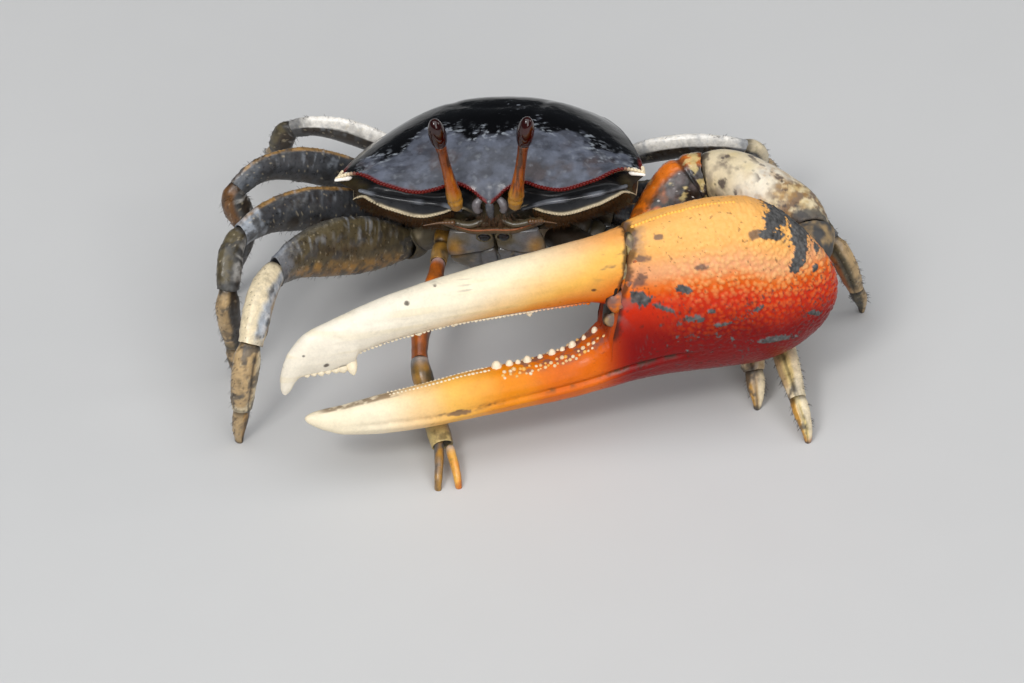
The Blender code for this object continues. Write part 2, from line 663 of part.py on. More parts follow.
def build_large_claw():
    palm_lean = [max(0.0, row[0] / PALM[-1][0]) for row in PALM]
    palm = loft(claw_rings(PALM, 20, palm_lean))
    pollex = loft(claw_rings(POLLEX, 12))
    teeth = [tooth(*row, direction=1) for row in POLLEX_TEETH]
    wrist = limb_base(CLAW_WRIST_ROOT, CLAW_WRIST, -np.array(CLAW_WRIST_WAY), (1, 0, 0), CLAW_WRIST_HALF)
    fuse("claw_palm", [palm, pollex, wrist, *teeth], ORANGE)

    start = [(JOINT_TOP[0] + GAP * 1.2, *DACTYL[0][1:])]
    rings = claw_rings(start, 12, [1.0]) + claw_rings(DACTYL[1:], 12)
    teeth = [tooth(*row, direction=-1) for row in DACTYL_TEETH]
    fuse("claw_dactyl", [loft(rings), *teeth], CREAM)

    merus = limb_piece(
        CLAW_BASE, CLAW_ELBOW, CLAW_BASE_WAY, CLAW_ELBOW_WAY, BACK, ARM_OUTLINES["merus"], CLAW_MERUS_HALF, 12,
    )
    mesh_object("claw_merus", *merus, OLIVE)
    carpus = limb_piece(
        CLAW_ELBOW, CLAW_WRIST, CLAW_ELBOW_WAY, CLAW_WRIST_WAY, UP, ARM_OUTLINES["carpus"],
        CLAW_CARPUS_HALF, 14,
    )
    mesh_object("claw_carpus", *carpus, CREAM)


def build_feeding_claw():
    joints = list(np.array(FEEDER_JOINTS))
    ways = joint_ways(joints)
    plane = (1, 0, 0)
    pieces = {}
    for i, name in enumerate(FEEDER_OUTLINES):
        pieces[name] = limb_piece(
            joints[i], joints[i + 1], ways[i], ways[i + 1], plane,
            FEEDER_OUTLINES[name], FEEDER_HALF_SIZES[name], 10,
        )
    mesh_object("feeder_merus", *pieces["merus"], OLIVE)
    mesh_object("feeder_carpus", *pieces["carpus"], OLIVE)
    start, end = np.array(FIXED_FINGER)
    fixed = limb_piece(start, end, ways[-1], -UP, plane, FINGER_OUTLINE, FEEDER_FINGER_HALF, 8, (0, 0))
    fuse("feeder_palm", [pieces["palm"], fixed], ORANGE)
    start, end = np.array(MOVING_FINGER)
    moving = limb_piece(start, end, ways[-1], -UP, plane, FINGER_OUTLINE, FEEDER_FINGER_HALF, 8, (2, 0))
    mesh_object("feeder_dactyl", *moving, ORANGE)


def main():
    clear_scene()
    build_shell()
    build_underside()
    build_abdomen()
    build_mouthparts()
    build_eyes()
    build_antennae()
    build_large_claw()
    build_feeding_claw()
    for leg in LEG_JOINTS:
        walking_leg(leg)


main()
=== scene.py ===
import itertools
import math

import bpy
import numpy as np
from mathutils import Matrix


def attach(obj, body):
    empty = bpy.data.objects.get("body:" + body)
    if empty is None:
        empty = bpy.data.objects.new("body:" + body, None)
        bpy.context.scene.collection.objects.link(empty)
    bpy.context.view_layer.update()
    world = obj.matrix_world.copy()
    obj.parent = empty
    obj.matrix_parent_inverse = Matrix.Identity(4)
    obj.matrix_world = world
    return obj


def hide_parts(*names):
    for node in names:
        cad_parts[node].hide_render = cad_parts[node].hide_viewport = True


# The fiddler crab's looks. Lengths are in millimetres in the crab's own space, as the solids have
# them: X towards its left side, Y towards its back, Z up, and its face looks along -Y.
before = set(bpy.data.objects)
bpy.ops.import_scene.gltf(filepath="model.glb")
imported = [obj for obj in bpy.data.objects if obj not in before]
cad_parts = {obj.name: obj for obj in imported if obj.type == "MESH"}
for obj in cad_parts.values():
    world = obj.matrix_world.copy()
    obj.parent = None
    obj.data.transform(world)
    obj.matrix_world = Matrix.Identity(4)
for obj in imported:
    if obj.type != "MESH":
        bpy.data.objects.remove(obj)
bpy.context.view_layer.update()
print("frame loaded:", len(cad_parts), "nodes")

columns = np.column_stack
mm = 0.001
originShift = np.array([-5.95, 9.03, 0.0])
up = np.array([0.0, 0.0, 1.0])
back = np.array([0.0, 1.0, 0.0])
sides = {"right": -1, "left": 1}

# The crab's colours, as a painter would mix them, 0 to 255
paints = {
    "ink": (15, 15, 18), "slate": (66, 67, 70), "mud": (94, 98, 104), "steel": (126, 130, 138),
    "bone": (246, 240, 230), "cream": (232, 214, 178), "tan": (188, 158, 114), "ochre": (190, 140, 58),
    "rust": (166, 90, 34), "olive": (92, 82, 58), "umber": (56, 46, 36), "wine": (126, 26, 16),
    "pearl": (178, 184, 192), "straw": (220, 196, 132), "orange": (230, 118, 20), "amber": (252, 190, 88),
    "flame": (206, 46, 10), "scarlet": (122, 2, 1), "ivory": (250, 235, 204), "smoke": (104, 90, 88),
    "bark": (116, 78, 40), "clay": (76, 75, 74), "garnet": (92, 15, 9),
}


def linear(name):
    value = np.array(paints[name], float) / 255
    return np.where(value <= 0.04045, value / 12.92, ((value + 0.055) / 1.055) ** 2.4)


hue = {name: linear(name) for name in paints}


# Small helpers for places and shapes
def unit(v):
    v = np.asarray(v, float)
    return v / np.maximum(np.linalg.norm(v, axis=-1, keepdims=True), 1e-9)


def rise(low, high, value):
    # 0 up to low, 1 from high on, and a soft slope between; low may be the larger
    t = np.clip((np.asarray(value, float) - low) / (high - low), 0, 1)
    return t * t * (3 - 2 * t)


def blend(first, second, share):
    share = np.asarray(share, float)[..., None]
    return first * (1 - share) + second * share


def hill(away, width):
    # 1 in the middle and falling off softly on both sides
    return np.exp(-(away / width) ** 2)


def turnsOf(cols, first=0.5):
    return (np.arange(cols) + first) * 2 * math.pi / cols


def squared(value, power):
    # sines or cosines made squarer, for the section of a rounded box
    return np.sign(value) * np.abs(value) ** power


def bent(start, startPull, end, endPull, t):
    return start * (1 + 2 * t) * (1 - t) ** 2 + startPull * t * (1 - t) ** 2 + end * t * t * (3 - 2 * t) \
        + endPull * t * t * (t - 1)


def between(a, b, c, d, t):
    # from b to c, on a smooth line that also passes a and d
    return 0.5 * (2 * b + (c - a) * t + (2 * a - 5 * b + 4 * c - d) * t ** 2 + (3 * b - a - 3 * c + d) * t ** 3)


def smoothRows(rows, at):
    # rows of a table read at any place, with no overshoot
    rows = np.asarray(rows, float)
    x = rows[:, 0]
    at = np.clip(at, x[0], x[-1])
    steps = np.diff(x)
    slopes = np.diff(rows, axis=0) / steps[:, None]
    tangents = np.zeros_like(rows)
    tangents[0], tangents[-1] = slopes[0], slopes[-1]
    before, after = slopes[:-1], slopes[1:]
    same = before * after > 0
    tangents[1:-1] = np.where(same, 2 * before * after / np.where(same, before + after, 1.0), 0.0)
    i = np.clip(np.searchsorted(x, at, side="right") - 1, 0, len(steps) - 1)
    h = steps[i][:, None]
    t = ((at - x[i]) / steps[i])[:, None]
    return bent(rows[i], tangents[i] * h, rows[i + 1], tangents[i + 1] * h, t)


def throughPoints(points, count):
    # a smooth line through a few points, with even steps
    points = np.asarray(points, float)
    lengths = np.r_[0, np.cumsum(np.linalg.norm(np.diff(points, axis=0), axis=1))]
    padded = np.vstack([2 * points[0] - points[1], points, 2 * points[-1] - points[-2]])
    at = np.linspace(0, lengths[-1], count)
    i = np.clip(np.searchsorted(lengths, at, side="right") - 1, 0, len(points) - 2)
    t = ((at - lengths[i]) / (lengths[i + 1] - lengths[i]))[:, None]
    return between(*(padded[i + k] for k in range(4)), t)


# The same number from 0 to 1 for the same cell and seed, each time
def scatter(cell, seed):
    n = np.full(cell.shape[:-1], seed * 374761393, np.int64)
    for axis, prime in zip(range(cell.shape[-1]), (73856093, 19349663, 83492791)):
        n = n ^ (cell[..., axis] * prime)
    n = (n ^ (n >> 13)) * 1274126177
    return ((n ^ (n >> 16)) & 0xFFFFF) / 0xFFFFF


def softNoise(p, size, seed=1):
    q = np.asarray(p) / size
    cell = np.floor(q).astype(np.int64)
    t = q - cell
    t = t * t * (3 - 2 * t)
    total = 0.0
    for corner in itertools.product((0, 1), repeat=q.shape[-1]):
        total = total + np.prod(np.where(corner, t, 1 - t), axis=-1) * scatter(cell + np.array(corner), seed)
    return total * 2 - 1


turned = np.linalg.qr(np.array([[0.8, 0.5, -0.3], [-0.4, 0.9, 0.6], [0.5, -0.35, 0.8]]))[0]


def noise(p, size, octaves=3, seed=1):
    # several sizes of soft lumps, each size turned another way
    total = 0.0
    for k in range(octaves):
        p = p @ turned
        total = total + softNoise(p, size / 2 ** k, seed + k) / 2 ** k
    return total / 1.5


def mottle(p, low, high, size, octaves, seed):
    # patches: 0 where the noise is under low, 1 where it is over high
    return rise(low, high, noise(p, size, octaves, seed))


# Distance to the nearest of many scattered points, as a share of their spacing, and its number
def grains(p, size, seed=1, jitter=0.8):
    q = np.asarray(p) / size
    if q.shape[-1] == 2:
        q = q @ np.array([[0.87, 0.5], [-0.5, 0.87]])
    cell = np.floor(q).astype(np.int64)
    nearest = np.full(len(q), 9.0)
    tag = np.zeros(len(q))
    for step in itertools.product((-1, 0, 1), repeat=q.shape[-1]):
        here = cell + np.array(step)
        spot = np.stack([scatter(here, seed + k) for k in range(q.shape[-1])], -1)
        away = np.sum((here + 0.5 + (spot - 0.5) * jitter - q) ** 2, axis=-1)
        closer = away < nearest
        tag = np.where(closer, scatter(here, seed + 7), tag)
        nearest = np.where(closer, away, nearest)
    return np.sqrt(nearest), tag


def coated(tint, p, *coats):
    # coats of paint, one over another: colour, brightness, share, and the noise that breaks it up,
    # as from, to, size, octaves and seed
    for colour, bright, share, *ragged in coats:
        if ragged:
            share = share * mottle(p, *ragged)
        tint = blend(tint, (hue[colour] if isinstance(colour, str) else colour) * bright, share)
    return tint


# Each piece is joined from parts: points, faces, and the colour and roughness at each point
def gridPart(grid, tint, rough=0.4, wrap=True, ends=(True, True)):
    rows, cols = grid.shape[:2]
    points = grid.reshape(-1, 3)
    tint = np.broadcast_to(np.asarray(tint, float).reshape(-1, 3), points.shape)
    rough = np.broadcast_to(np.asarray(rough, float).reshape(-1), points.shape[:1])
    i = np.arange(rows - 1)[:, None] * cols
    j = np.arange(cols if wrap else cols - 1)[None, :]
    k = (j + 1) % cols
    faces = [np.stack([i + j, i + k, i + cols + k, i + cols + j], -1).reshape(-1, 4)]
    ring = np.arange(cols)
    following = (ring + 1) % cols
    for closed, row, order in ((ends[0], 0, (following, ring)), (ends[1], rows - 1, (ring, following))):
        if wrap and closed:
            middle = np.full(cols, len(points))
            start = row * cols
            faces.append(np.stack([start + order[0], start + order[1], middle], -1))
            points = np.vstack([points, grid[row].mean(axis=0)])
            tint = np.vstack([tint, tint[start:start + cols].mean(axis=0)])
            rough = np.r_[rough, rough[start:start + cols].mean()]
    corners = [points[f] - points.mean(axis=0) for f in faces]
    volume = sum(np.sum(np.cross(c[:, 0], c[:, 1]) * c[:, 2]) + np.sum(np.cross(c[:, 0], c[:, -2]) * c[:, -1])
                 for c in corners)
    if volume < 0:
        faces = [f[:, ::-1] for f in faces]
    return points, faces, tint, rough


def outward(grid, wrap=True):
    # unit normals of a grid of points, away from its middle line
    along = np.gradient(grid, axis=0)
    if wrap:
        across = np.roll(grid, -1, axis=1) - np.roll(grid, 1, axis=1)
    else:
        across = np.gradient(grid, axis=1)
    normal = unit(np.cross(along, across))
    if np.sum(normal * (grid - grid.mean(axis=1, keepdims=True))) < 0:
        normal = -normal
    return normal


def pushed(grid, height):
    return grid + outward(grid) * height.reshape(grid.shape[:2])[..., None]


def frameOf(way):
    # two directions square to each way
    way = np.atleast_2d(way)
    helper = np.where(np.abs(way[:, 2:3]) > 0.9, np.array([[1.0, 0, 0]]), np.array([[0, 0, 1.0]]))
    first = unit(np.cross(way, helper))
    return first, np.cross(way, first)


def rodParts(middles, radii, ways, cols, tips, tint, rough):
    # many small rods at once: rings round their middles, closed by a tip or by the last ring
    first, second = frameOf(ways)
    rings = [middle + (first * math.cos(turn) + second * math.sin(turn)) * radius[:, None]
             for middle, radius in zip(middles, radii) for turn in turnsOf(cols, 0)]
    rings.extend(tips)
    size, last = len(rings), (len(middles) - 1) * cols
    j = np.arange(cols)
    k = (j + 1) % cols
    quads = np.concatenate([np.stack([r + j, r + k, r + cols + k, r + cols + j], -1)
                            for r in range(0, last, cols)])
    caps = np.stack([last + j, last + k, np.full(cols, size - 1)], -1) if tips else last + j[None]
    starts = np.arange(len(ways))[:, None, None] * size
    faces = [(quads[None] + starts).reshape(-1, 4), (caps[None] + starts).reshape(-1, 3)]
    tint = np.repeat(np.broadcast_to(np.asarray(tint, float).reshape(-1, 3), (len(ways), 3)), size, axis=0)
    return np.stack(rings, axis=1).reshape(-1, 3), faces, tint, np.full(len(tint), rough)


def domeParts(places, ways, widths, heights, tint, rough=0.35, taper=1.0):
    # small rounded cones, each rooted a little below its place
    places, ways = np.atleast_2d(places), unit(np.atleast_2d(ways))
    ways = np.broadcast_to(ways, places.shape)
    widths, heights = (np.broadcast_to(np.asarray(v, float), (len(places),)) for v in (widths, heights))
    turns = np.radians((0, 25, 50, 72, 86))[:, None]
    lifts = heights * (np.sin(turns) * 1.35 - 0.35)
    tips = places + ways * heights[:, None]
    radii = widths * np.cos(turns) ** taper
    return rodParts(places + ways * lifts[..., None], radii, ways, 8, [tips], tint, rough)


def hairParts(roots, ways, lengths, width, tint, droop=0.3, rough=0.55):
    # thin bent bristles, three-sided and pointed
    ways = unit(ways)
    share = np.array((0.0, 0.35, 0.7, 1.0))[:, None]
    middles = roots + ways * (lengths * share)[..., None] - up * (lengths * droop * share ** 2)[..., None]
    radii = (width / 2 * (1 - share) + 0.008) * np.ones(len(roots))
    return rodParts(middles, radii, ways, 3, [], tint, rough)


def tubePart(path, radii, tint, rough=0.35, cols=16, flat=1.0, roundEnds=True):
    # a round or flattened rod along a line of points
    path = np.asarray(path, float)
    radii = np.broadcast_to(np.asarray(radii, float), (len(path),)).copy()
    ways = unit(np.gradient(path, axis=0))
    if roundEnds:
        turns = np.radians((80, 55, 30))
        head = [path[0] - ways[0] * radii[0] * math.sin(t) for t in turns]
        tail = [path[-1] + ways[-1] * radii[-1] * math.sin(t) for t in turns[::-1]]
        radii = np.r_[radii[0] * np.cos(turns), radii, radii[-1] * np.cos(turns[::-1])]
        path = np.vstack([head, path, tail])
        ways = np.vstack([ways[:1]] * 3 + [ways] + [ways[-1:]] * 3)
    side = frameOf(ways[:1])[0][0]
    turn = turnsOf(cols, 0)
    grid = []
    for place, way, radius in zip(path, ways, radii):
        side = unit(side - way * np.dot(side, way))
        lift = np.cross(way, side)
        grid.append(place + radius * (np.outer(np.cos(turn), side) + flat * np.outer(np.sin(turn), lift)))
    return gridPart(np.array(grid), tint, rough)


def addPiece(name, parts, look, nodes=()):
    points, tints, roughs, quads, threes = [], [], [], [], []
    offset = 0
    for place, faces, tint, rough in parts:
        points.append(place)
        tints.append(tint)
        roughs.append(rough)
        for face in faces:
            (quads if face.shape[1] == 4 else threes).append(face + offset)
        offset += len(place)
    points = (np.vstack(points) + originShift) * mm
    faces = [np.vstack(group) for group in (quads, threes) if group]
    loops = np.concatenate([f.ravel() for f in faces]).astype(np.int32)
    totals = np.concatenate([np.full(len(f), f.shape[1]) for f in faces])
    mesh = bpy.data.meshes.new(name)
    mesh.vertices.add(len(points))
    mesh.vertices.foreach_set("co", points.astype(np.float32).ravel())
    mesh.loops.add(len(loops))
    mesh.loops.foreach_set("vertex_index", loops)
    mesh.polygons.add(len(totals))
    mesh.polygons.foreach_set("loop_start", np.r_[0, np.cumsum(totals)[:-1]].astype(np.int32))
    mesh.update(calc_edges=True)
    mesh.validate()
    mesh.shade_smooth()
    tint = mesh.color_attributes.new("tint", "FLOAT_COLOR", "POINT")
    colours = columns([np.clip(np.vstack(tints), 0, 1), np.ones(len(points))])
    tint.data.foreach_set("color", colours.astype(np.float32).ravel())
    rough = mesh.attributes.new("rough", "FLOAT", "POINT")
    rough.data.foreach_set("value", np.clip(np.concatenate(roughs), 0.04, 1).astype(np.float32))
    mesh.materials.append(finishOf(look))
    piece = bpy.data.objects.new(name, mesh)
    bpy.context.scene.collection.objects.link(piece)
    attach(piece, "root")
    if nodes:
        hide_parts(*nodes)
    return piece


# Finishes. Colour and gloss come from the painted mesh, and each finish adds its own fine grain
finishes = {
    "wetShell": {"grain": 0.35, "tone": 0.16, "bump": 0.012, "coat": 0.04, "coatRough": 0.08, "fleck": 0.9,
                 "shine": 0.22},
    "clawEnamel": {"grain": 0.28, "tone": 0.10, "bump": 0.010, "coat": 0.04, "coatRough": 0.12, "fleck": 1.1,
                   "shine": 0.18},
    "legSkin": {"grain": 0.22, "tone": 0.22, "bump": 0.022, "coat": 0.2, "coatRough": 0.22, "fleck": 0.6},
    "stalkSkin": {"grain": 0.18, "tone": 0.16, "bump": 0.008, "coat": 0.4, "coatRough": 0.12, "fleck": 0.5},
    "eyeGlass": {"grain": 0.12, "tone": 0.12, "bump": 0.001, "coat": 0.5, "coatRough": 0.03, "fleck": 0.4,
                 "shine": 0.4},
    "softSkin": {"grain": 0.16, "tone": 0.24, "bump": 0.020, "coat": 0.15, "coatRough": 0.3, "fleck": 0.5},
}


def finishOf(name):
    if name in bpy.data.materials:
        return bpy.data.materials[name]
    look = finishes[name]
    made = bpy.data.materials.new(name)
    made.use_nodes = True
    nodes, links = made.node_tree.nodes, made.node_tree.links
    shader = nodes["Principled BSDF"]

    def node(kind, **values):
        n = nodes.new(kind)
        for key, value in values.items():
            if hasattr(n, key):
                setattr(n, key, value)
            else:
                n.inputs[key].default_value = value
        return n

    tint = node("ShaderNodeAttribute", attribute_name="tint")
    rough = node("ShaderNodeAttribute", attribute_name="rough")
    place = node("ShaderNodeTexCoord")
    grain = node("ShaderNodeTexNoise", Scale=1 / (look["grain"] * mm), Detail=4.0, Roughness=0.6)
    patch = node("ShaderNodeTexNoise", Scale=1 / (look["fleck"] * mm), Detail=3.0, Roughness=0.55)
    for texture in (grain, patch):
        links.new(place.outputs["Object"], texture.inputs["Vector"])

    # tone: the painted colour, a little lighter and darker from grain to grain and patch to patch
    both = node("ShaderNodeMath", operation="ADD")
    links.new(grain.outputs["Fac"], both.inputs[0])
    links.new(patch.outputs["Fac"], both.inputs[1])
    tone = node("ShaderNodeMapRange")
    for socket, value in zip((1, 2, 3, 4), (0.6, 1.4, 1 - look["tone"], 1 + look["tone"])):
        tone.inputs[socket].default_value = value
    links.new(both.outputs[0], tone.inputs[0])
    shade = node("ShaderNodeMix", data_type="RGBA", blend_type="MULTIPLY")
    shade.inputs[0].default_value = 1.0
    links.new(tint.outputs["Color"], shade.inputs[6])
    links.new(tone.outputs[0], shade.inputs[7])
    links.new(shade.outputs[2], shader.inputs["Base Color"])

    # gloss: the painted roughness, uneven from patch to patch
    spread = node("ShaderNodeMapRange")
    for socket, value in zip((1, 2, 3, 4), (0.3, 0.7, 0.8, 1.25)):
        spread.inputs[socket].default_value = value
    links.new(patch.outputs["Fac"], spread.inputs[0])
    gloss = node("ShaderNodeMath", operation="MULTIPLY")
    links.new(rough.outputs["Fac"], gloss.inputs[0])
    links.new(spread.outputs[0], gloss.inputs[1])
    links.new(gloss.outputs[0], shader.inputs["Roughness"])

    # skin: fine grain that only light from the side shows
    skin = node("ShaderNodeBump", Strength=0.8, Distance=look["bump"] * mm)
    links.new(grain.outputs["Fac"], skin.inputs["Height"])
    links.new(skin.outputs["Normal"], shader.inputs["Normal"])
    shader.inputs["Coat Weight"].default_value = look["coat"]
    shader.inputs["Coat Roughness"].default_value = look["coatRough"]
    shader.inputs["Specular IOR Level"].default_value = look.get("shine", 0.5)
    return made


# The body's own upright frame, turned and tilted to the crab's stance
stance = {"pivot": np.array([0.0, -7.0, 20.0]), "yaw": math.radians(-6.0), "roll": math.radians(-6.5)}


def bodySpace(points):
    p = np.asarray(points, float) - stance["pivot"]
    c, s = math.cos(stance["roll"]), math.sin(stance["roll"])
    p = p @ np.array([[c, 0, s], [0, 1, 0], [-s, 0, c]]).T
    c, s = math.cos(stance["yaw"]), math.sin(stance["yaw"])
    return p @ np.array([[c, -s, 0], [s, c, 0], [0, 0, 1]]).T + stance["pivot"]


# Carapace
carapace = {
    "edge": (  # half of the edge: x, y, height and depth of the orbit below it
        (0.0, -9.8, 19.3, 0.0), (0.8, -9.5, 19.7, 0.0), (2.0, -8.8, 20.5, 0.6), (3.9, -8.1, 20.9, 1.4),
        (6.0, -8.8, 20.7, 2.5), (8.0, -9.2, 20.6, 2.9), (12.0, -8.4, 21.2, 2.6), (15.4, -7.0, 21.7, 1.5),
        (17.5, -7.0, 21.0, 0.0), (17.0, -4.4, 20.2, 0.0), (15.9, -1.0, 19.3, 0.0), (14.2, 3.0, 18.2, 0.0),
        (12.2, 7.0, 16.6, 0.0), (10.0, 10.6, 14.6, 0.0), (7.4, 12.7, 13.2, 0.0), (3.6, 13.3, 12.8, 0.0),
        (0.0, 13.4, 12.8, 0.0),
    ),
    "corner": 8, "rear": 15,
    "crown": ((-9.8, 19.3), (-8.0, 21.1), (-4.0, 23.1), (0.0, 23.8), (4.0, 22.9), (8.0, 19.9), (11.0, 16.4),
              (13.4, 12.8)),
    "arch": 2.3, "around": 720, "dorsalRows": 120, "wallRows": 90, "overhang": 1.3, "mouth": 6.0,
    "floor": (13.2, -0.12),
    "regionDepth": 0.11, "backGroove": 0.07, "lobeGroove": 0.1,
    # where the painted sheen of the front half ends, how ragged its edge is and how it bows back at the sides
    "sheenFrom": 1.7, "sheenRagged": 3.2, "sheenBow": 0.014,
    "beadsBefore": -5.2, "beadsApart": 0.36, "beadHalf": 0.235,
    "lowerBeads": (3.4, 17.0), "lowerBeadHalf": 0.15,
    "spine": ((16.4, -6.7, 21.0), (17.6, -7.3, 21.0)), "hairs": 3600, "hairsAcross": (4.5, 15.5),
}


def shellFloor(y):
    return carapace["floor"][0] + carapace["floor"][1] * y


def shellEdge(count):
    half = np.array(carapace["edge"])
    whole = np.vstack([half[::-1][:-1] * (-1, 1, 1, 1), half])
    lengths = np.r_[0, np.cumsum(np.linalg.norm(np.diff(whole[:, :3], axis=0), axis=1))]
    at = np.linspace(0, lengths[-1], count + 1)[:-1]
    return smoothRows(columns([lengths, whole]), at)[:, 1:]


def dorsalHeight(x, y):
    edge = np.array(carapace["edge"])[carapace["corner"]:carapace["rear"]]
    side = smoothRows(edge[:, (1, 0, 2)], np.ravel(y))
    crown = smoothRows(carapace["crown"], np.ravel(y))[:, 1]
    share = np.abs(np.ravel(x)) / side[:, 1]
    return (crown - (crown - side[:, 2]) * share ** carapace["arch"]).reshape(np.shape(x))


def wallRows(edge):
    # loops of the shell's side, from its edge to its floor, with the eye sockets
    xy, z, cut = edge[:, :2], edge[:, 2], edge[:, 3]
    inward = unit(np.array([0.0, 1.0]) - xy)
    front = np.clip((-xy[:, 1] - 2.0) / 5.0, 0, 1)
    floor = shellFloor(xy[:, 1])
    overhang = carapace["overhang"] * rise(14.0, 17.2, np.abs(xy[:, 0])) * front
    rows = [columns([xy, z])]
    for drop, wayIn, share in ((0.3, 0.02, 0.02), (0.6, 0.15, 0.3), (1.2, 0.4, 0.9), (2.1, 0.5, 1.0),
                               (2.9, 0.5, 0.85), (3.4, 0.3, 0.3), (3.75, 0.12, 0.0), (4.0, 0.2, 0.0)):
        height = z - np.minimum(drop * (0.4 + 0.6 * front), (z - floor) * drop / 6.0)
        inset = wayIn + cut * share + overhang * rise(0.5, 2.9, drop)
        rows.append(columns([xy + inward * inset[:, None], height]))
    lean = columns([xy[:, 0] / -edge[:, 0].max() * 1.5, np.full(len(xy), 0.12)])
    under = lean * front[:, None] + inward * 0.6 * (1 - front)[:, None]
    mouth = front * np.clip((carapace["mouth"] + 1.5 - abs(xy[:, 0])) / 1.5, 0, 1)
    top = rows[-1][:, 2]
    for share, wayIn in ((0.35, 0.9), (0.7, 2.4), (1.0, 4.0)):
        place = xy + inward * 0.2 + under * wayIn + inward * (overhang * (1 - share))[:, None]
        place[:, 1] += mouth * 1.2 * share
        rows.append(columns([place, top * (1 - share) + shellFloor(place[:, 1]) * share]))
    return np.array(rows)


def alongRows(rows, at):
    # a smooth surface through loops of points
    padded = np.concatenate([2 * rows[:1] - rows[1:2], rows, 2 * rows[-1:] - rows[-2:-1]])
    i = np.clip(np.floor(at).astype(int), 0, len(rows) - 2)
    t = (at - i)[:, None, None]
    return between(*(padded[i + k] for k in range(4)), t)


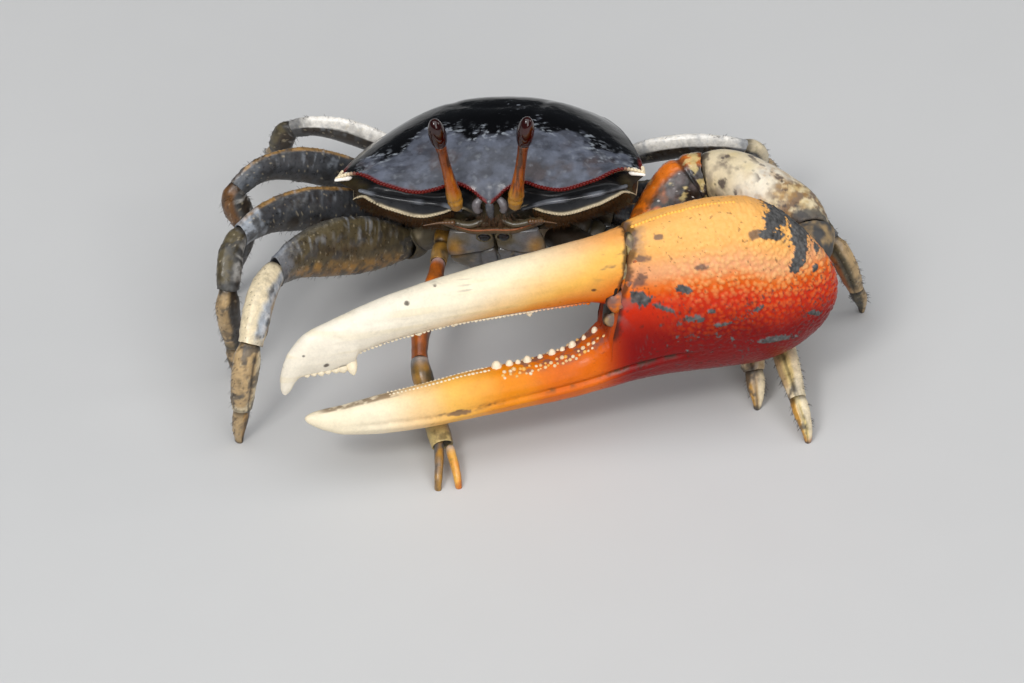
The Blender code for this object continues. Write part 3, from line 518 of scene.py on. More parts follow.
def buildShell():
    edge = shellEdge(carapace["around"])
    shares = np.linspace(0.01, 1, carapace["dorsalRows"])[:, None]
    x, y = edge[None, :, 0] * shares, edge[None, :, 1] * shares
    lift = edge[:, 2] - dorsalHeight(edge[:, 0], edge[:, 1])
    dorsal = np.stack([x, y, dorsalHeight(x, y) + lift * shares ** 8], -1)
    at = np.linspace(0.06, 11, carapace["wallRows"])
    wall = alongRows(wallRows(edge), at)
    grid = np.concatenate([dorsal, wall])
    rows, cols = grid.shape[:2]
    p = grid.reshape(-1, 3)
    onTop = np.repeat(np.r_[shares[:, 0], np.full(len(at), 2.0)], cols)
    level = np.repeat(np.r_[np.full(len(shares), -1.0), at], cols)
    cut = np.tile(edge[:, 3], rows)
    front = np.tile(np.clip((-edge[:, 1] - 2.0) / 5.0, 0, 1), rows)
    reach = np.tile(np.abs(edge[:, 0]), rows)
    isTop = onTop < 1.5

    # relief: shallow regions of the back, a groove behind the front lobe and faint pits
    px, py = p[:, 0], p[:, 1]
    regions = -carapace["regionDepth"] * hill(np.abs(px) - 4.6 - 0.25 * (py - 2), 0.7)
    regions *= rise(-3, 1, py) * rise(9, 5, py)
    regions -= carapace["backGroove"] * hill(py - 2.2 - 0.05 * px ** 2, 0.7) * rise(5.5, 3, np.abs(px))
    regions -= carapace["lobeGroove"] * hill(px, 0.8) * rise(-4.5, -8.5, py)
    height = regions * isTop
    height += 0.05 * noise(p, 2.6, 3, 5) + 0.012 * noise(p, 0.5, 2, 9)
    wallRough = rise(7.6, 9, level) * 0.10 + (1 - front) * rise(0.5, 2, level) * 0.08
    height += wallRough * noise(p, 0.5, 3, 21)
    height[np.abs(onTop - 1) < 0.004] += 0.05
    grid = pushed(grid, height)

    # paint: a painted blue-grey sheen on the front half, standing for the sky's reflection in the wet shell,
    # black behind, red and cream at the edge
    ragged = noise(p, 3.2, 5, 31)
    flow = noise(p * (1.0, 1.5, 1.0), 1.3, 5, 37)
    past = py + ragged * carapace["sheenRagged"] + carapace["sheenBow"] * px ** 2 + carapace["sheenFrom"]
    sheen = rise(0.9, 0.0, past)
    # painted reflection: pale specks where the painted sheen breaks up along its ragged edge
    sheenSpecks = rise(1.3, 0.0, np.abs(past - 0.6))
    sheenSpecks *= mottle(p * (0.8, 1.6, 1.0), 0.15, 0.45, 0.42, 3, 39)
    # painted reflection: the mottled blue-grey of the front half stands for the sky mirrored in the wet shell
    skySheen = blend(hue["slate"] * 1.25, hue["steel"] * 0.66, rise(-0.6, 0.7, flow)) * (0.93, 0.96, 1.08)
    skySheen = blend(skySheen, hue["smoke"] * 0.6, mottle(p, 0.05, 0.5, 2.2, 4, 43) * rise(-2, -6, py) * 0.7)
    skySheen = skySheen * (1 - 0.18 * mottle(p, 0.1, 0.5, 1.8, 5, 45) + 0.16 * noise(p, 0.35, 2, 46))[:, None]
    dashes = mottle(p * (1.0, 2.2, 1.0), 0.5, 0.62, 0.55, 3, 47) * rise(0, 3, py)
    dashes *= mottle(p, -0.1, 0.3, 3.0, 2, 49)
    pale = rise(0.3, 0.65, noise(p, 0.55, 4, 53) + 0.3 * noise(p, 2.5, 2, 54)) * rise(0.0, -4, py)
    rough = 0.14 + 0.3 * rise(-0.6, 0.6, flow) * sheen + 0.2 * dashes + 0.1 * pale
    rim = rise(0.965, 0.99, onTop) * isTop * rise(-2.5, -5.0, py)

    socket = blend(hue["ink"], hue["slate"] * 0.5, rise(3.6, 5.4, level))
    flesh = blend(hue["olive"] * 0.62, hue["umber"] * 0.8, mottle(p, -0.4, 0.6, 1.3, 4, 61))
    tint = coated(
        hue["ink"] * 0.35, p,
        (skySheen, 1, sheen * 0.9),
        ("pearl", 0.7, sheenSpecks * 0.75),
        ("pearl", 0.7, dashes * 0.6),
        ("pearl", 0.55, pale * 0.3),
        ("wine", 0.8, rim * 0.8),
    )
    side = blend(hue["umber"] * 0.5, hue["slate"] * 0.5, mottle(p, -0.3, 0.7, 1.5, 4, 71))
    flesh = blend(flesh, hue["slate"], mottle(p, 0.1, 0.8, 2.8, 3, 67) * 0.3)
    margin = rise(6.5, 6.8, level) * rise(7.6, 7.2, level) * front * rise(2.2, 4.4, reach)
    lining = rise(1.3, 0.2, level) * front * rise(9, 15, reach)
    lip = rise(0.9, 0.1, level) * front * rise(13, 10, reach)
    wall = coated(
        side, p,
        (flesh, 1, front),
        (socket, 1, rise(0.3, 1.2, cut) * rise(0.2, 0.8, level) * rise(7.0, 6.2, level)),
        ("cream", 1, margin * 0.9, -0.9, 0.1, 1.4, 3, 73),
        ("cream", 1, lining * 0.9),
        ("wine", 0.6, lip),
    )
    tint = np.where(isTop[:, None], tint, wall)
    rough = np.where(isTop, rough, 0.42 - 0.2 * rise(7, 5, level) * front)
    part = gridPart(bodyGrid(grid), tint, rough)
    addPiece("carapaceShell", [part], "wetShell", ["carapace"])

    # beads along the front margin and the lower margin of the orbits
    fine = shellEdge(2400)
    arc = np.r_[0, np.cumsum(np.linalg.norm(np.diff(fine[:, :3], axis=0), axis=1))]
    chosen, last = [], -1.0
    for i, (x, y) in enumerate(fine[:, :2]):
        if y < carapace["beadsBefore"] and arc[i] - last > carapace["beadsApart"] and abs(x) > 0.7:
            chosen.append(i)
            last = arc[i]
    edgePoints = fine[chosen]
    out = unit(columns([edgePoints[:, :2] - (0.0, 1.0), np.full(len(chosen), 2.0)]))
    reach = np.abs(edgePoints[:, 0])
    size = carapace["beadHalf"] - 0.06 * rise(4, 1, reach)
    tone = blend(hue["garnet"], hue["cream"], rise(15.2, 16.6, reach))
    beads = domeParts(bodySpace(edgePoints[:, :3]), bodyWay(out), size, size * 1.1, tone, 0.25)
    rows = wallRows(edgePoints)
    keep = (reach > carapace["lowerBeads"][0]) & (reach < carapace["lowerBeads"][1])
    lowerOut = unit(columns([edgePoints[:, :2] - (0.0, 1.0), np.zeros(len(chosen))]))
    lowerBeads = domeParts(bodySpace(rows[7][keep]), bodyWay(lowerOut[keep]), carapace["lowerBeadHalf"], 0.16,
                           hue["cream"] * 0.7, 0.35)
    spines = []
    for sign in (-1, 1):
        root, tip = np.array(carapace["spine"]) * (sign, 1, 1)
        line = root + (tip - root) * np.linspace(0, 1, 12)[:, None]
        spines.append(tubePart(bodySpace(line), np.linspace(0.62, 0.2, 12), hue["bone"], 0.3, flat=0.6))
    rng = np.random.default_rng(5)
    count = carapace["hairs"]
    pick = rng.integers(0, len(chosen), count)
    down = rng.uniform(0, 1, (count, 1)) ** 1.3
    roots = rows[8][pick] * (1 - down) + rows[10][pick] * down
    nearest, farthest = carapace["hairsAcross"]
    keep = (np.abs(roots[:, 0]) > nearest) & (np.abs(roots[:, 0]) < farthest)
    way = lowerOut[pick] * 0.8 - up * 0.7 + rng.normal(0, 0.25, (count, 3))
    fuzz = hairParts(bodySpace(roots[keep]), bodyWay(way[keep]), rng.uniform(0.25, 0.7, keep.sum()), 0.05,
                     hue["bark"] * 0.45)
    addPiece("marginBeads", [beads, lowerBeads, fuzz, *spines], "clawEnamel")
    print("carapace made")


def bodyWay(ways):
    return bodySpace(np.asarray(ways) + stance["pivot"]) - stance["pivot"]


def bodyGrid(grid):
    return bodySpace(grid.reshape(-1, 3)).reshape(grid.shape)


# Face: orbit ridges, front lobe, antennules, epistome, mouth plates and bristles
face = {
    "ridge": ((3.6, -8.9, 17.6), (6.0, -7.7, 17.5), (9.0, -7.4, 17.75), (12.5, -7.0, 18.2), (15.2, -6.4, 18.6)),
    "ridgeHalf": 0.42,
    "plates": ((14.9, -9.15, 4.9), (12.6, -9.3, 5.5), (10.2, -8.7, 5.2), (8.2, -7.7, 3.6)),
    "plateHalf": 0.55, "plateSquare": 3.2, "plateRows": 70, "plateCols": 120,
    "lobe": ((0, -9.5, 19.2), (0, -9.75, 18.7), (0, -9.75, 17.8), (0, -9.3, 16.4)),
    "curl": ((1.1, -9.1, 19.3), (1.45, -9.35, 19.0), (1.6, -9.5, 18.5), (1.45, -9.5, 18.0), (1.2, -9.3, 17.8)),
    "brow": ((1.2, -9.1, 16.2), (2.6, -9.5, 15.9), (4.6, -9.3, 16.2)),
    "band": ((-5.4, -8.6, 15.6), (-2.6, -9.35, 15.0), (0, -9.5, 15.1), (2.6, -9.35, 15.0), (5.4, -8.6, 15.6)),
    "pit": (1.1, -9.8, 14.3), "pitHalf": (0.85, 0.62), "hairs": 260,
}


def buildFace():
    parts = []
    for sign in (-1, 1):
        line = throughPoints(np.array(face["ridge"]) * (sign, 1, 1), 60)
        swell = face["ridgeHalf"] * (0.55 + 0.45 * np.sin(np.linspace(0.15, 3.0, 60)))
        tone = blend(hue["slate"] * 0.6, hue["steel"], mottle(line, -0.3, 0.6, 1.6, 2, 81))
        tone = np.repeat(np.vstack([tone[:1]] * 3 + [tone] + [tone[-1:]] * 3), 18, axis=0)
        parts.append(tubePart(bodySpace(line), swell, tone, 0.16, cols=18, flat=0.75))
    addPiece("orbitRidges", parts, "wetShell")

    lobe = throughPoints(face["lobe"], 24)
    width = np.interp(np.linspace(0, 1, 24), (0, 0.3, 0.7, 1), (0.45, 0.5, 0.36, 0.25))
    tone = blend(hue["slate"] * 0.6, hue["steel"] * 0.6, 0.4)
    parts = [tubePart(bodySpace(lobe), width, tone, 0.25, flat=0.7)]
    for sign in (-1, 1):
        line = throughPoints(np.array(face["curl"]) * (sign, 1, 1), 36)
        width = np.interp(np.linspace(0, 1, 36), (0, 0.4, 0.8, 1), (0.4, 0.52, 0.42, 0.25))
        parts.append(tubePart(bodySpace(line), width, blend(hue["smoke"], hue["pearl"], 0.25) * 0.7, 0.2))
        brow = throughPoints(np.array(face["brow"]) * (sign, 1, 1), 30)
        parts.append(tubePart(bodySpace(brow), 0.42, blend(hue["olive"], hue["umber"], 0.4), 0.3, flat=0.8))
    band = throughPoints(face["band"], 70)
    parts.append(tubePart(bodySpace(band), 0.5, blend(hue["bark"], hue["olive"], 0.6) * 0.7, 0.3, flat=0.9))
    trim = band + (0, -0.38, 0.3)
    parts.append(tubePart(bodySpace(trim), 0.11, hue["rust"] * 0.8, 0.35, cols=8))
    for sign in (-1, 1):
        pit = bodySpace(np.array(face["pit"]) * (sign, 1, 1))
        turn = np.linspace(0, 2 * math.pi, 30)
        wide, tall = face["pitHalf"]
        loop = pit + bodyWay(columns([np.cos(turn) * wide, turn * 0, np.sin(turn) * tall]))
        parts.append(tubePart(loop, 0.15, hue["olive"] * 0.8, 0.25, cols=8, roundEnds=False))
        parts.append(domeParts(pit, bodyWay((0, -1, 0)), 0.72, 0.3, hue["ink"], 0.06))
    rng = np.random.default_rng(3)
    n = face["hairs"]
    roots = columns([rng.normal(0, 1.3, n), rng.uniform(-9.7, -9.2, n), rng.uniform(15.6, 17.4, n)])
    way = columns([roots[:, 0] * 0.25, np.full(n, -0.55), rng.uniform(-1.0, -0.2, n)])
    parts.append(hairParts(bodySpace(roots), bodyWay(way), rng.uniform(0.3, 0.7, n), 0.06, hue["bark"] * 0.5))
    addPiece("faceParts", parts, "softSkin")
    for side, sign in sides.items():
        buildMouthPlate(side, sign)
    print("face made")


def buildMouthPlate(side, sign):
    rows = np.array(face["plates"])
    at = np.linspace(rows[0, 0], rows[-1, 0], face["plateRows"])
    table = smoothRows(rows[::-1], at)
    cols = face["plateCols"]
    c, s = np.cos(turnsOf(cols)), np.sin(turnsOf(cols))
    across = squared(c, 2 / face["plateSquare"])
    deep = squared(s, 2 / face["plateSquare"])
    grid = np.zeros((len(at), cols, 3))
    grid[..., 0] = sign * (0.15 + table[:, 2:3] / 2) + across * table[:, 2:3] / 2
    grid[..., 1] = table[:, 1:2] - deep * face["plateHalf"]
    grid[..., 2] = table[:, 0:1]
    p = grid.reshape(-1, 3)
    out = np.abs(p[:, 0])
    isFront = np.tile(s > 0, len(at))
    seam = 0.35 * hill(p[:, 2] - 11.9 + 0.25 * (out - 2), 0.16)
    crease = 0.22 * hill(out - 1.5 - 0.12 * (14.5 - p[:, 2]), 0.2) * rise(12.2, 11.6, p[:, 2])
    belly = 0.25 * (hill(out - 2.8, 1.7) * hill(p[:, 2] - 13.4, 1.0))
    height = (belly - seam - crease) * isFront + 0.05 * noise(p, 0.9, 3, 91)
    grid = pushed(grid, height)
    spot = hill(out - 4.6, 0.8) * hill(p[:, 2] - 12.6, 1.2)
    tint = coated(
        hue["olive"], p,
        ("steel", 0.8, 0.8, -0.5, 0.6, 1.6, 3, 93),
        ("umber", 0.5, np.clip((seam + crease) * 3, 0, 1)),
        ("straw", 1, 0.25, 0.3, 0.8, 0.9, 2, 97),
        ("ochre", 1, spot * 0.85),
    )
    part = gridPart(bodyGrid(grid), tint * 0.8, 0.2)
    addPiece("mouthPlate_" + side, [part], "softSkin", ["maxilliped_" + side])


# Eyes on their stalks
eyes = {
    "feet": {"right": (-3.7, -10.0, 19.4), "left": (3.0, -10.0, 19.4)},
    "centres": {"right": (-6.0, -9.6, 29.5), "left": (3.9, -9.8, 29.9)},
    "stalk": ((0.0, 0.78), (0.1, 0.94), (0.3, 0.76), (0.6, 0.6), (0.85, 0.58), (1.0, 0.66)),
    "half": (1.0, 2.1), "cols": 64, "stalkRows": 110, "eyeRows": 60,
    "stump": ((0, 2.8, -1.6), (0, 1.6, -1.0), (0, 0.75, -0.4)), "stumpHalf": 0.62,
    "feeler": ((4.4, -9.9, 16.6), (7.6, -11.0, 17.2)),
    "feelerHalf": ((0, 0.3), (0.2, 0.24), (0.5, 0.12), (1, 0.05)),
}


def buildEyes():
    for side in sides:
        foot = bodySpace(np.array(eyes["feet"][side]))
        centre = np.array(eyes["centres"][side])
        way = unit(centre - foot)
        across = unit(np.cross(back, way))
        depth = np.cross(way, across)
        cols = eyes["cols"]
        turn = turnsOf(cols)
        circle = np.outer(np.cos(turn), across) + np.outer(np.sin(turn), depth)
        wide, tall = eyes["half"]

        # stalk: pointed foot, waist and a collar that holds the eye
        end = centre - way * (tall - 0.35)
        t = np.linspace(0, 1, eyes["stalkRows"])
        radius = smoothRows(eyes["stalk"], t)[:, 1] * rise(-0.4, 0.05, t)
        line = foot + (end - foot) * t[:, None]
        grid = line[:, None] + circle[None] * radius[:, None, None]
        tail = foot - (way * 0.8 + back * 0.25) * np.array([0.95, 0.7, 0.35])[:, None]
        root = tail[:, None] + circle[None] * np.array([0.1, 0.42, 0.72])[:, None, None]
        grid = np.concatenate([root, grid])
        share = np.r_[0, 0, 0, t]
        p = grid.reshape(-1, 3)
        along = np.repeat(share, cols)
        grain = noise(p * (1, 1, 0.4), 0.5, 3, 101)
        height = 0.035 * noise(p, 0.9, 3, 103) - 0.1 * hill(along - 0.1, 0.03)
        grid = pushed(grid, height)
        streaks = noise(p * (1, 1, 0.16), 0.42, 3, 105)
        tint = coated(
            hue["ochre"] * (0.8, 0.72, 0.4), p,
            ("orange", 0.45, rise(0.1, 0.32, along + 0.08 * grain)),
            ("rust", (0.45, 0.36, 0.25), rise(0.4, 0.85, along + 0.16 * grain)),
            ("umber", 0.6, rise(0.05, 0.45, streaks) * 0.75 * rise(0.1, 0.3, along)),
            ("amber", 0.8, rise(0.2, 0.7, -streaks) * 0.4 * rise(0.7, 0.4, along)),
            ("olive", 1, rise(0.06, 0.0, along) * 0.35),
        )
        stalk = gridPart(grid, tint, 0.3)
        addPiece("stalk_" + side, [stalk], "stalkSkin", ["eyestalk_" + side])

        # eye: a glossy maroon egg with a paler dorsal streak
        turnUp = np.linspace(-math.pi / 2 + 0.05, math.pi / 2 - 0.05, eyes["eyeRows"])
        radius = wide * np.cos(turnUp) ** 0.82 * (1 - 0.06 * np.sin(turnUp))
        line = centre + way * (tall * np.sin(turnUp))[:, None]
        grid = line[:, None] + circle[None] * radius[:, None, None]
        p = grid.reshape(-1, 3)
        streak = rise(0.5, 0.95, np.tile(np.sin(turn), len(turnUp)))
        streak *= rise(-0.4, 0.3, np.repeat(np.sin(turnUp), cols))
        tint = coated(
            hue["wine"] * 0.08, p,
            ("wine", 0.2, 1, -0.2, 0.9, 1.6, 2, 107),
            ("rust", 0.3, streak * 0.3),
        )
        addPiece("eyeball_" + side, [gridPart(grid, tint, 0.08)], "eyeGlass", ["eye_" + side])

        # stump in the shell that the stalk leans on
        stump = throughPoints(foot + np.array(eyes["stump"]), 16)
        addPiece("stalkSocket_" + side, [tubePart(stump, eyes["stumpHalf"], hue["umber"] * 0.6, 0.3)],
                 "softSkin")

        # feeler, with faint rings
        root, tip = bodySpace(np.array(eyes["feeler"]) * (sides[side], 1, 1))
        line = throughPoints((root, (root + tip) / 2 + (0, 0, 0.15), tip), 40)
        width = np.interp(np.linspace(0, 1, 40), *zip(*eyes["feelerHalf"]))
        width = width * (1 + 0.12 * np.sin(np.linspace(0, 60, 40)))
        rod = tubePart(line, width, blend(hue["bark"], hue["umber"], 0.4), 0.3)
        addPiece("feeler_" + side, [rod], "stalkSkin", ["antenna_" + side])
    print("eyes made")


# Limbs: a segment has a rounded root that sits in its neighbour's collar, and a rolled lip
limb = {
    "gap": 0.3, "step": 0.15, "root": 0.55, "rootRows": 9, "collar": 0.05,
    "lip": ((0.05, 1.0), (0.09, 0.94), (0.04, 0.88), (-0.2, 0.82), (-0.45, 0.62), (-0.5, 0.3), (-0.5, 0.04)),
}


def limbGrid(start, end, startWay, endWay, plane, outline, half, gaps=(1, 1), crest=0.12, power=2.2, step=None,
             lip=True, bow=1.0):
    step = step or limb["step"]
    startWay, endWay = unit(startWay), unit(endWay)
    start = np.asarray(start, float) + startWay * limb["gap"] / 2 * gaps[0]
    end = np.asarray(end, float) - endWay * limb["gap"] / 2 * gaps[1]
    length = np.linalg.norm(end - start)
    t = np.linspace(0, 1, max(20, int(length / step)))
    a, b = startWay * length * bow, endWay * length * bow
    s = t[:, None]
    places = bent(start, a, end, b, s)
    ways = unit((end - start) * 6 * s * (1 - s) + a * (1 - s) * (1 - 3 * s) + b * s * (3 * s - 2))
    share = smoothRows(outline, t)[:, 1]
    collar = share * (1 + limb["collar"] * hill((1 - t) * length, 0.5))
    turns = np.linspace(math.pi / 2, 0.1, limb["rootRows"])
    scale = np.r_[np.maximum(np.cos(turns), 0.03) * collar[0], collar]
    base = np.r_[np.full(len(turns), share[0]), share]
    places = np.vstack([start - startWay * limb["root"] * np.sin(turns)[:, None], places])
    ways = np.vstack([np.tile(startWay, (len(turns), 1)), ways])
    inside = np.r_[rise(0.5, 0.0, np.cos(turns)), np.zeros(len(t))]
    t = np.r_[np.zeros(len(turns)), t]
    if lip:
        lips = np.array(limb["lip"])
        places = np.vstack([places, end + endWay * lips[:, :1]])
        ways = np.vstack([ways, np.tile(endWay, (len(lips), 1))])
        scale = np.r_[scale, lips[:, 1] * collar[-1]]
        base = np.r_[base, np.full(len(lips), share[-1])]
        inside = np.r_[inside, rise(0.9, 0.8, lips[:, 1])]
        t = np.r_[t, np.ones(len(lips))]
    lift = unit(np.cross(plane, ways))
    side = unit(np.cross(ways, lift))
    halfUp, halfSide = half
    cols = max(20, int(math.pi * (halfUp + halfSide) * 1.05 / step))
    c, s = np.cos(turnsOf(cols)), np.sin(turnsOf(cols))
    across = squared(c, 2 / power) * (1 - crest * np.maximum(s, 0))
    along = squared(s, 2 / power)
    thick = halfSide * (0.35 + 0.65 * base) * scale / np.maximum(base, 1e-6)
    grid = (
        places[:, None] + side[:, None] * (thick[:, None] * across[None])[..., None]
        + lift[:, None] * (halfUp * scale[:, None] * along[None])[..., None]
    )
    rows = len(places)
    return {
        "grid": grid, "t": np.repeat(t, cols), "up": np.tile(s, rows), "side": np.tile(c, rows),
        "inside": np.repeat(inside, cols), "length": length, "cols": cols, "lift": lift, "ways": ways,
    }


# Walking legs: knee, end of the carpus, end of the propodus and toe, and their sizes and colours
legs = {
    "joints": {
        "leg1_right": ((-24.2, -17.7, 16.0), (-27.0, -26.6, 13.0), (-28.0, -28.6, 5.2), (-28.4, -28.4, 0.0)),
        "leg2_right": ((-28.3, -12.7, 17.0), (-29.6, -18.5, 14.0), (-29.1, -18.2, 5.4), (-28.9, -17.6, 0.0)),
        "leg3_right": ((-28.7, -4.5, 17.0), (-28.0, -5.4, 12.0), (-29.3, -4.6, 5.0), (-29.9, -4.0, 0.0)),
        "leg4_right": ((-22.8, 11.4, 12.2), (-24.4, 11.6, 8.8), (-25.0, 15.9, 4.0), (-25.4, 18.3, 0.0)),
        "leg1_left": ((27.4, -9.4, 8.4), (28.6, -15.0, 6.6), (29.8, -20.4, 3.4), (30.2, -22.8, 0.0)),
        "leg2_left": ((31.8, -6.6, 9.8), (32.4, -14.5, 6.0), (34.6, -25.2, 3.6), (35.8, -28.4, 0.0)),
        "leg3_left": ((33.0, -1.4, 12.4), (38.6, -6.0, 10.4), (41.6, -7.4, 4.2), (42.4, -6.4, 0.0)),
        "leg4_left": ((28.9, 6.3, 13.8), (30.8, 8.6, 9.6), (32.2, 12.6, 4.2), (32.8, 15.0, 0.0)),
    },
    "hips": {
        "leg1": (11.2, -4.2, 8.6), "leg2": (12.4, -0.8, 9.5),
        "leg3": (12.6, 3.4, 9.4), "leg4": (11.0, 8.2, 9.3),
    },
    "halves": {
        "leg1": ((3.55, 1.35), (2.0, 1.5), (1.85, 1.3), (1.1, 0.85)),
        "leg2": ((2.7, 1.3), (1.75, 1.2), (1.5, 1.05), (1.0, 0.75)),
        "leg3": ((2.3, 1.2), (1.6, 1.15), (1.4, 1.0), (0.95, 0.72)),
        "leg4": ((1.95, 1.1), (1.4, 1.05), (1.25, 0.9), (0.85, 0.68)),
    },
    "outlines": {
        "merus": ((0.0, 0.5), (0.14, 0.74), (0.35, 0.98), (0.55, 1.0), (0.78, 0.82), (0.92, 0.68), (1.0, 0.56)),
        "carpus": ((0.0, 0.74), (0.2, 0.92), (0.5, 1.0), (0.8, 0.92), (1.0, 0.74)),
        "propodus": ((0.0, 0.72), (0.2, 0.98), (0.5, 0.94), (0.8, 0.8), (1.0, 0.6)),
        "dactyl": ((0.0, 0.92), (0.25, 0.96), (0.5, 0.8), (0.78, 0.54), (1.0, 0.32)),
    },
    "arch": {
        "leg1_right": 0.08, "leg4_right": 0.55, "leg4_left": 0.5, "leg1_left": -0.12, "leg2_left": -0.12,
        "leg3_left": -0.12,
    },
    "highArch": 0.3, "root": (0.62, 0.85, 10.7),
    "lumps": 0.05, "wrinkles": 0.035, "wrinklesApart": 0.3, "granules": 0.075, "granulesApart": 0.42,
    "furrow": 0.16,
    "hairsPerMm": 7, "hairShare": {"merus": 0.3, "carpus": 0.5, "propodus": 0.9, "dactyl": 1.0},
    "hairWidth": 0.045, "hairsAbove": 1.2,
    "colours": {  # crest, face, keel and far end of the merus, carpus, propodus and dactyl
        "leg1_right": ("slate olive ochre steel", "cream pearl tan cream",
                       "tan tan cream cream", "tan ochre umber umber"),
        "leg2_right": ("ochre slate umber pearl", "olive clay umber clay",
                       "tan umber umber olive", "tan umber umber ink"),
        "leg3_right": ("ochre slate umber mud", "bark clay umber mud",
                       "mud slate umber umber", "tan umber umber ink"),
        "leg4_right": ("bone umber umber slate", "olive umber umber olive",
                       "tan umber umber olive", "tan umber umber ink"),
        "leg1_left": ("olive slate bark steel", "cream tan mud cream",
                      "cream tan cream tan", "cream tan ochre umber"),
        "leg2_left": ("ochre slate umber pearl", "cream tan mud cream",
                      "cream straw tan cream", "cream straw ochre rust"),
        "leg3_left": ("olive slate umber mud", "olive smoke umber mud",
                      "tan olive rust tan", "tan olive umber umber"),
        "leg4_left": ("bone umber umber steel", "cream slate umber mud",
                      "tan umber umber olive", "tan umber umber ink"),
    },
}


def jointWays(joints, lastWay=None):
    ways = [unit(joints[1] - joints[0])]
    for before, here, after in zip(joints, joints[1:], joints[2:]):
        ways.append(unit(unit(here - before) + unit(after - here)))
    ways.append(unit(joints[-1] - joints[-2]) if lastWay is None else unit(lastWay))
    return ways


def legLine(leg):
    pair, side = leg.split("_")
    hip = bodySpace(np.array(legs["hips"][pair]) * (sides[side], 1, 1))
    joints = [hip, *np.array(legs["joints"][leg])]
    plane = unit(np.cross(unit(joints[-1] - joints[1]) - up, joints[1] - joints[0]))
    ways = jointWays(joints, -up)
    ways[0] = unit(ways[0] + up * legs["arch"].get(leg, legs["highArch"]))
    return joints, ways, plane


def legSegment(leg, number, joints, ways, plane):
    segment = list(legs["outlines"])[number]
    pair = leg.split("_")[0]
    toe = segment == "dactyl"
    seed = 200 + 10 * list(legs["joints"]).index(leg) + number
    shape = limbGrid(joints[number], joints[number + 1], ways[number], ways[number + 1], plane,
                     legs["outlines"][segment], legs["halves"][pair][number], (1, 0 if toe else 1),
                     crest=0.3 if segment == "merus" else 0.1, lip=not toe)
    p = shape["grid"].reshape(-1, 3)
    t, high, face, inside = shape["t"], shape["up"], shape["side"], shape["inside"]
    along = t * shape["length"]
    grain = noise(p, 0.8, 3, seed)
    band = columns([along / legs["wrinklesApart"], high * 1.4, face])
    stripes = softNoise(band, 1.0, seed + 3)
    dots = grains(p, legs["granulesApart"], seed + 5)[0]
    crest = rise(0.72, 0.95, high) + rise(0.75, 0.97, -high) * 0.7

    # relief: cross wrinkles on the upper face, granules on both edges, a shallow furrow at mid height
    height = legs["lumps"] * noise(p, 1.9, 2, seed + 7) + 0.015 * grain
    height += legs["wrinkles"] * stripes * rise(-0.1, 0.4, high) * (segment != "dactyl")
    height += legs["granules"] * crest * rise(0.45, 0.1, dots) * rise(0.0, 0.1, t)
    if segment in ("propodus", "dactyl"):
        height -= legs["furrow"] * hill(high, 0.16) * rise(0.06, 0.2, t) * rise(1.0, 0.85, t)
    if segment == "carpus":
        height += 0.05 * softNoise(columns([along / 0.7, high * 0.8, face]), 1.0, seed + 9)
    height = height * (1 - inside)

    # paint
    colours = legs["colours"][leg][number].split()
    crestTone, faceTone, keelTone, endTone = (hue[c] for c in colours)
    wander = 0.28 * noise(p, 2.2, 3, seed + 11)
    if segment == "merus":
        topShare = rise(0.9, 0.985, high + wander * 0.15) * 0.55
        if colours[0] == "bone":
            topShare = rise(0.4, 0.5, high + wander * 0.25) * rise(0.02, 0.12, t)
        keelShare = rise(0.0, 0.7, -high + wander) * mottle(p, -0.6, 0.3, 1.1, 4, seed + 16)
    else:
        topShare = rise(0.2, 0.6, high + wander)
        keelShare = rise(0.05, 0.5, -high + wander)
    tint = coated(
        faceTone, p,
        (keelTone, 1, keelShare),
        (crestTone, 1, topShare),
    )
    if segment == "merus":
        scored = rise(0.1, 0.6, stripes + 0.5 * noise(p, 0.5, 2, seed + 12)) * rise(-0.1, 0.5, high)
        tint = blend(tint, hue["pearl"] * 0.8, scored * 0.45 * mottle(p, -0.3, 0.3, 1.8, 2, seed + 14))
    if segment == "carpus":
        scored = rise(0.1, 0.5, softNoise(columns([along / 0.42, high, face]), 1.0, seed + 19))
        tint = blend(tint, hue["bone"], scored * rise(0.5, -0.1, high) * 0.35)
    clean = topShare * (crestTone.mean() > 0.35)
    ends = np.maximum(rise(0.12, 0.0, t), rise(0.85, 1.0, t))
    dirt = rise(0.28, 0.5, noise(p, 1.3, 4, seed + 17) + 0.25 * ends)
    dirt = dirt * (1 - 0.7 * clean)
    tint = coated(
        tint, p,
        (endTone, 1, rise(0.84, 0.96, t + 0.1 * noise(p, 0.9, 3, seed + 15)) * 0.75),
        ("umber", 0.4, 0.5 - 0.35 * clean, 0.05, 0.5, 0.8, 4, seed + 13),
        ("clay", 0.9, dirt * 0.75),
        ("umber", 0.4, rise(-0.35, -0.85, high) * 0.5 * (segment == "merus")),
        ("ink", 1.5, 0.5 - 0.4 * clean, 0.42, 0.55, 0.33, 2, seed + 21),
        ("cream", 1, 0.3, 0.5, 0.6, 0.3, 2, seed + 23),
    )
    tint = tint * (0.94 + 0.3 * grain * (1 - 0.6 * clean))[:, None]
    height += dirt * (0.05 + 0.08 * noise(p, 0.4, 2, seed + 25)) * (1 - inside)
    if segment in ("propodus", "dactyl"):
        tint = blend(tint, hue["umber"] * 0.4, hill(high, 0.09) * 0.8 * rise(0.04, 0.12, t))
    rough = 0.34 + 0.12 * grain + 0.2 * dirt
    grid = pushed(shape["grid"], height)
    tint = coated(
        tint, p,
        ("umber", 0.35, hill(along, 0.35) * 0.7),
        ("ink", 1, inside * 0.9),
    )
    parts = [gridPart(grid, tint, rough)]
    parts.extend(legBristles(shape, grid, segment, seed))
    addPiece(f"{leg}_{segment}_skin", parts, "legSkin", [f"{leg}_{segment}"])


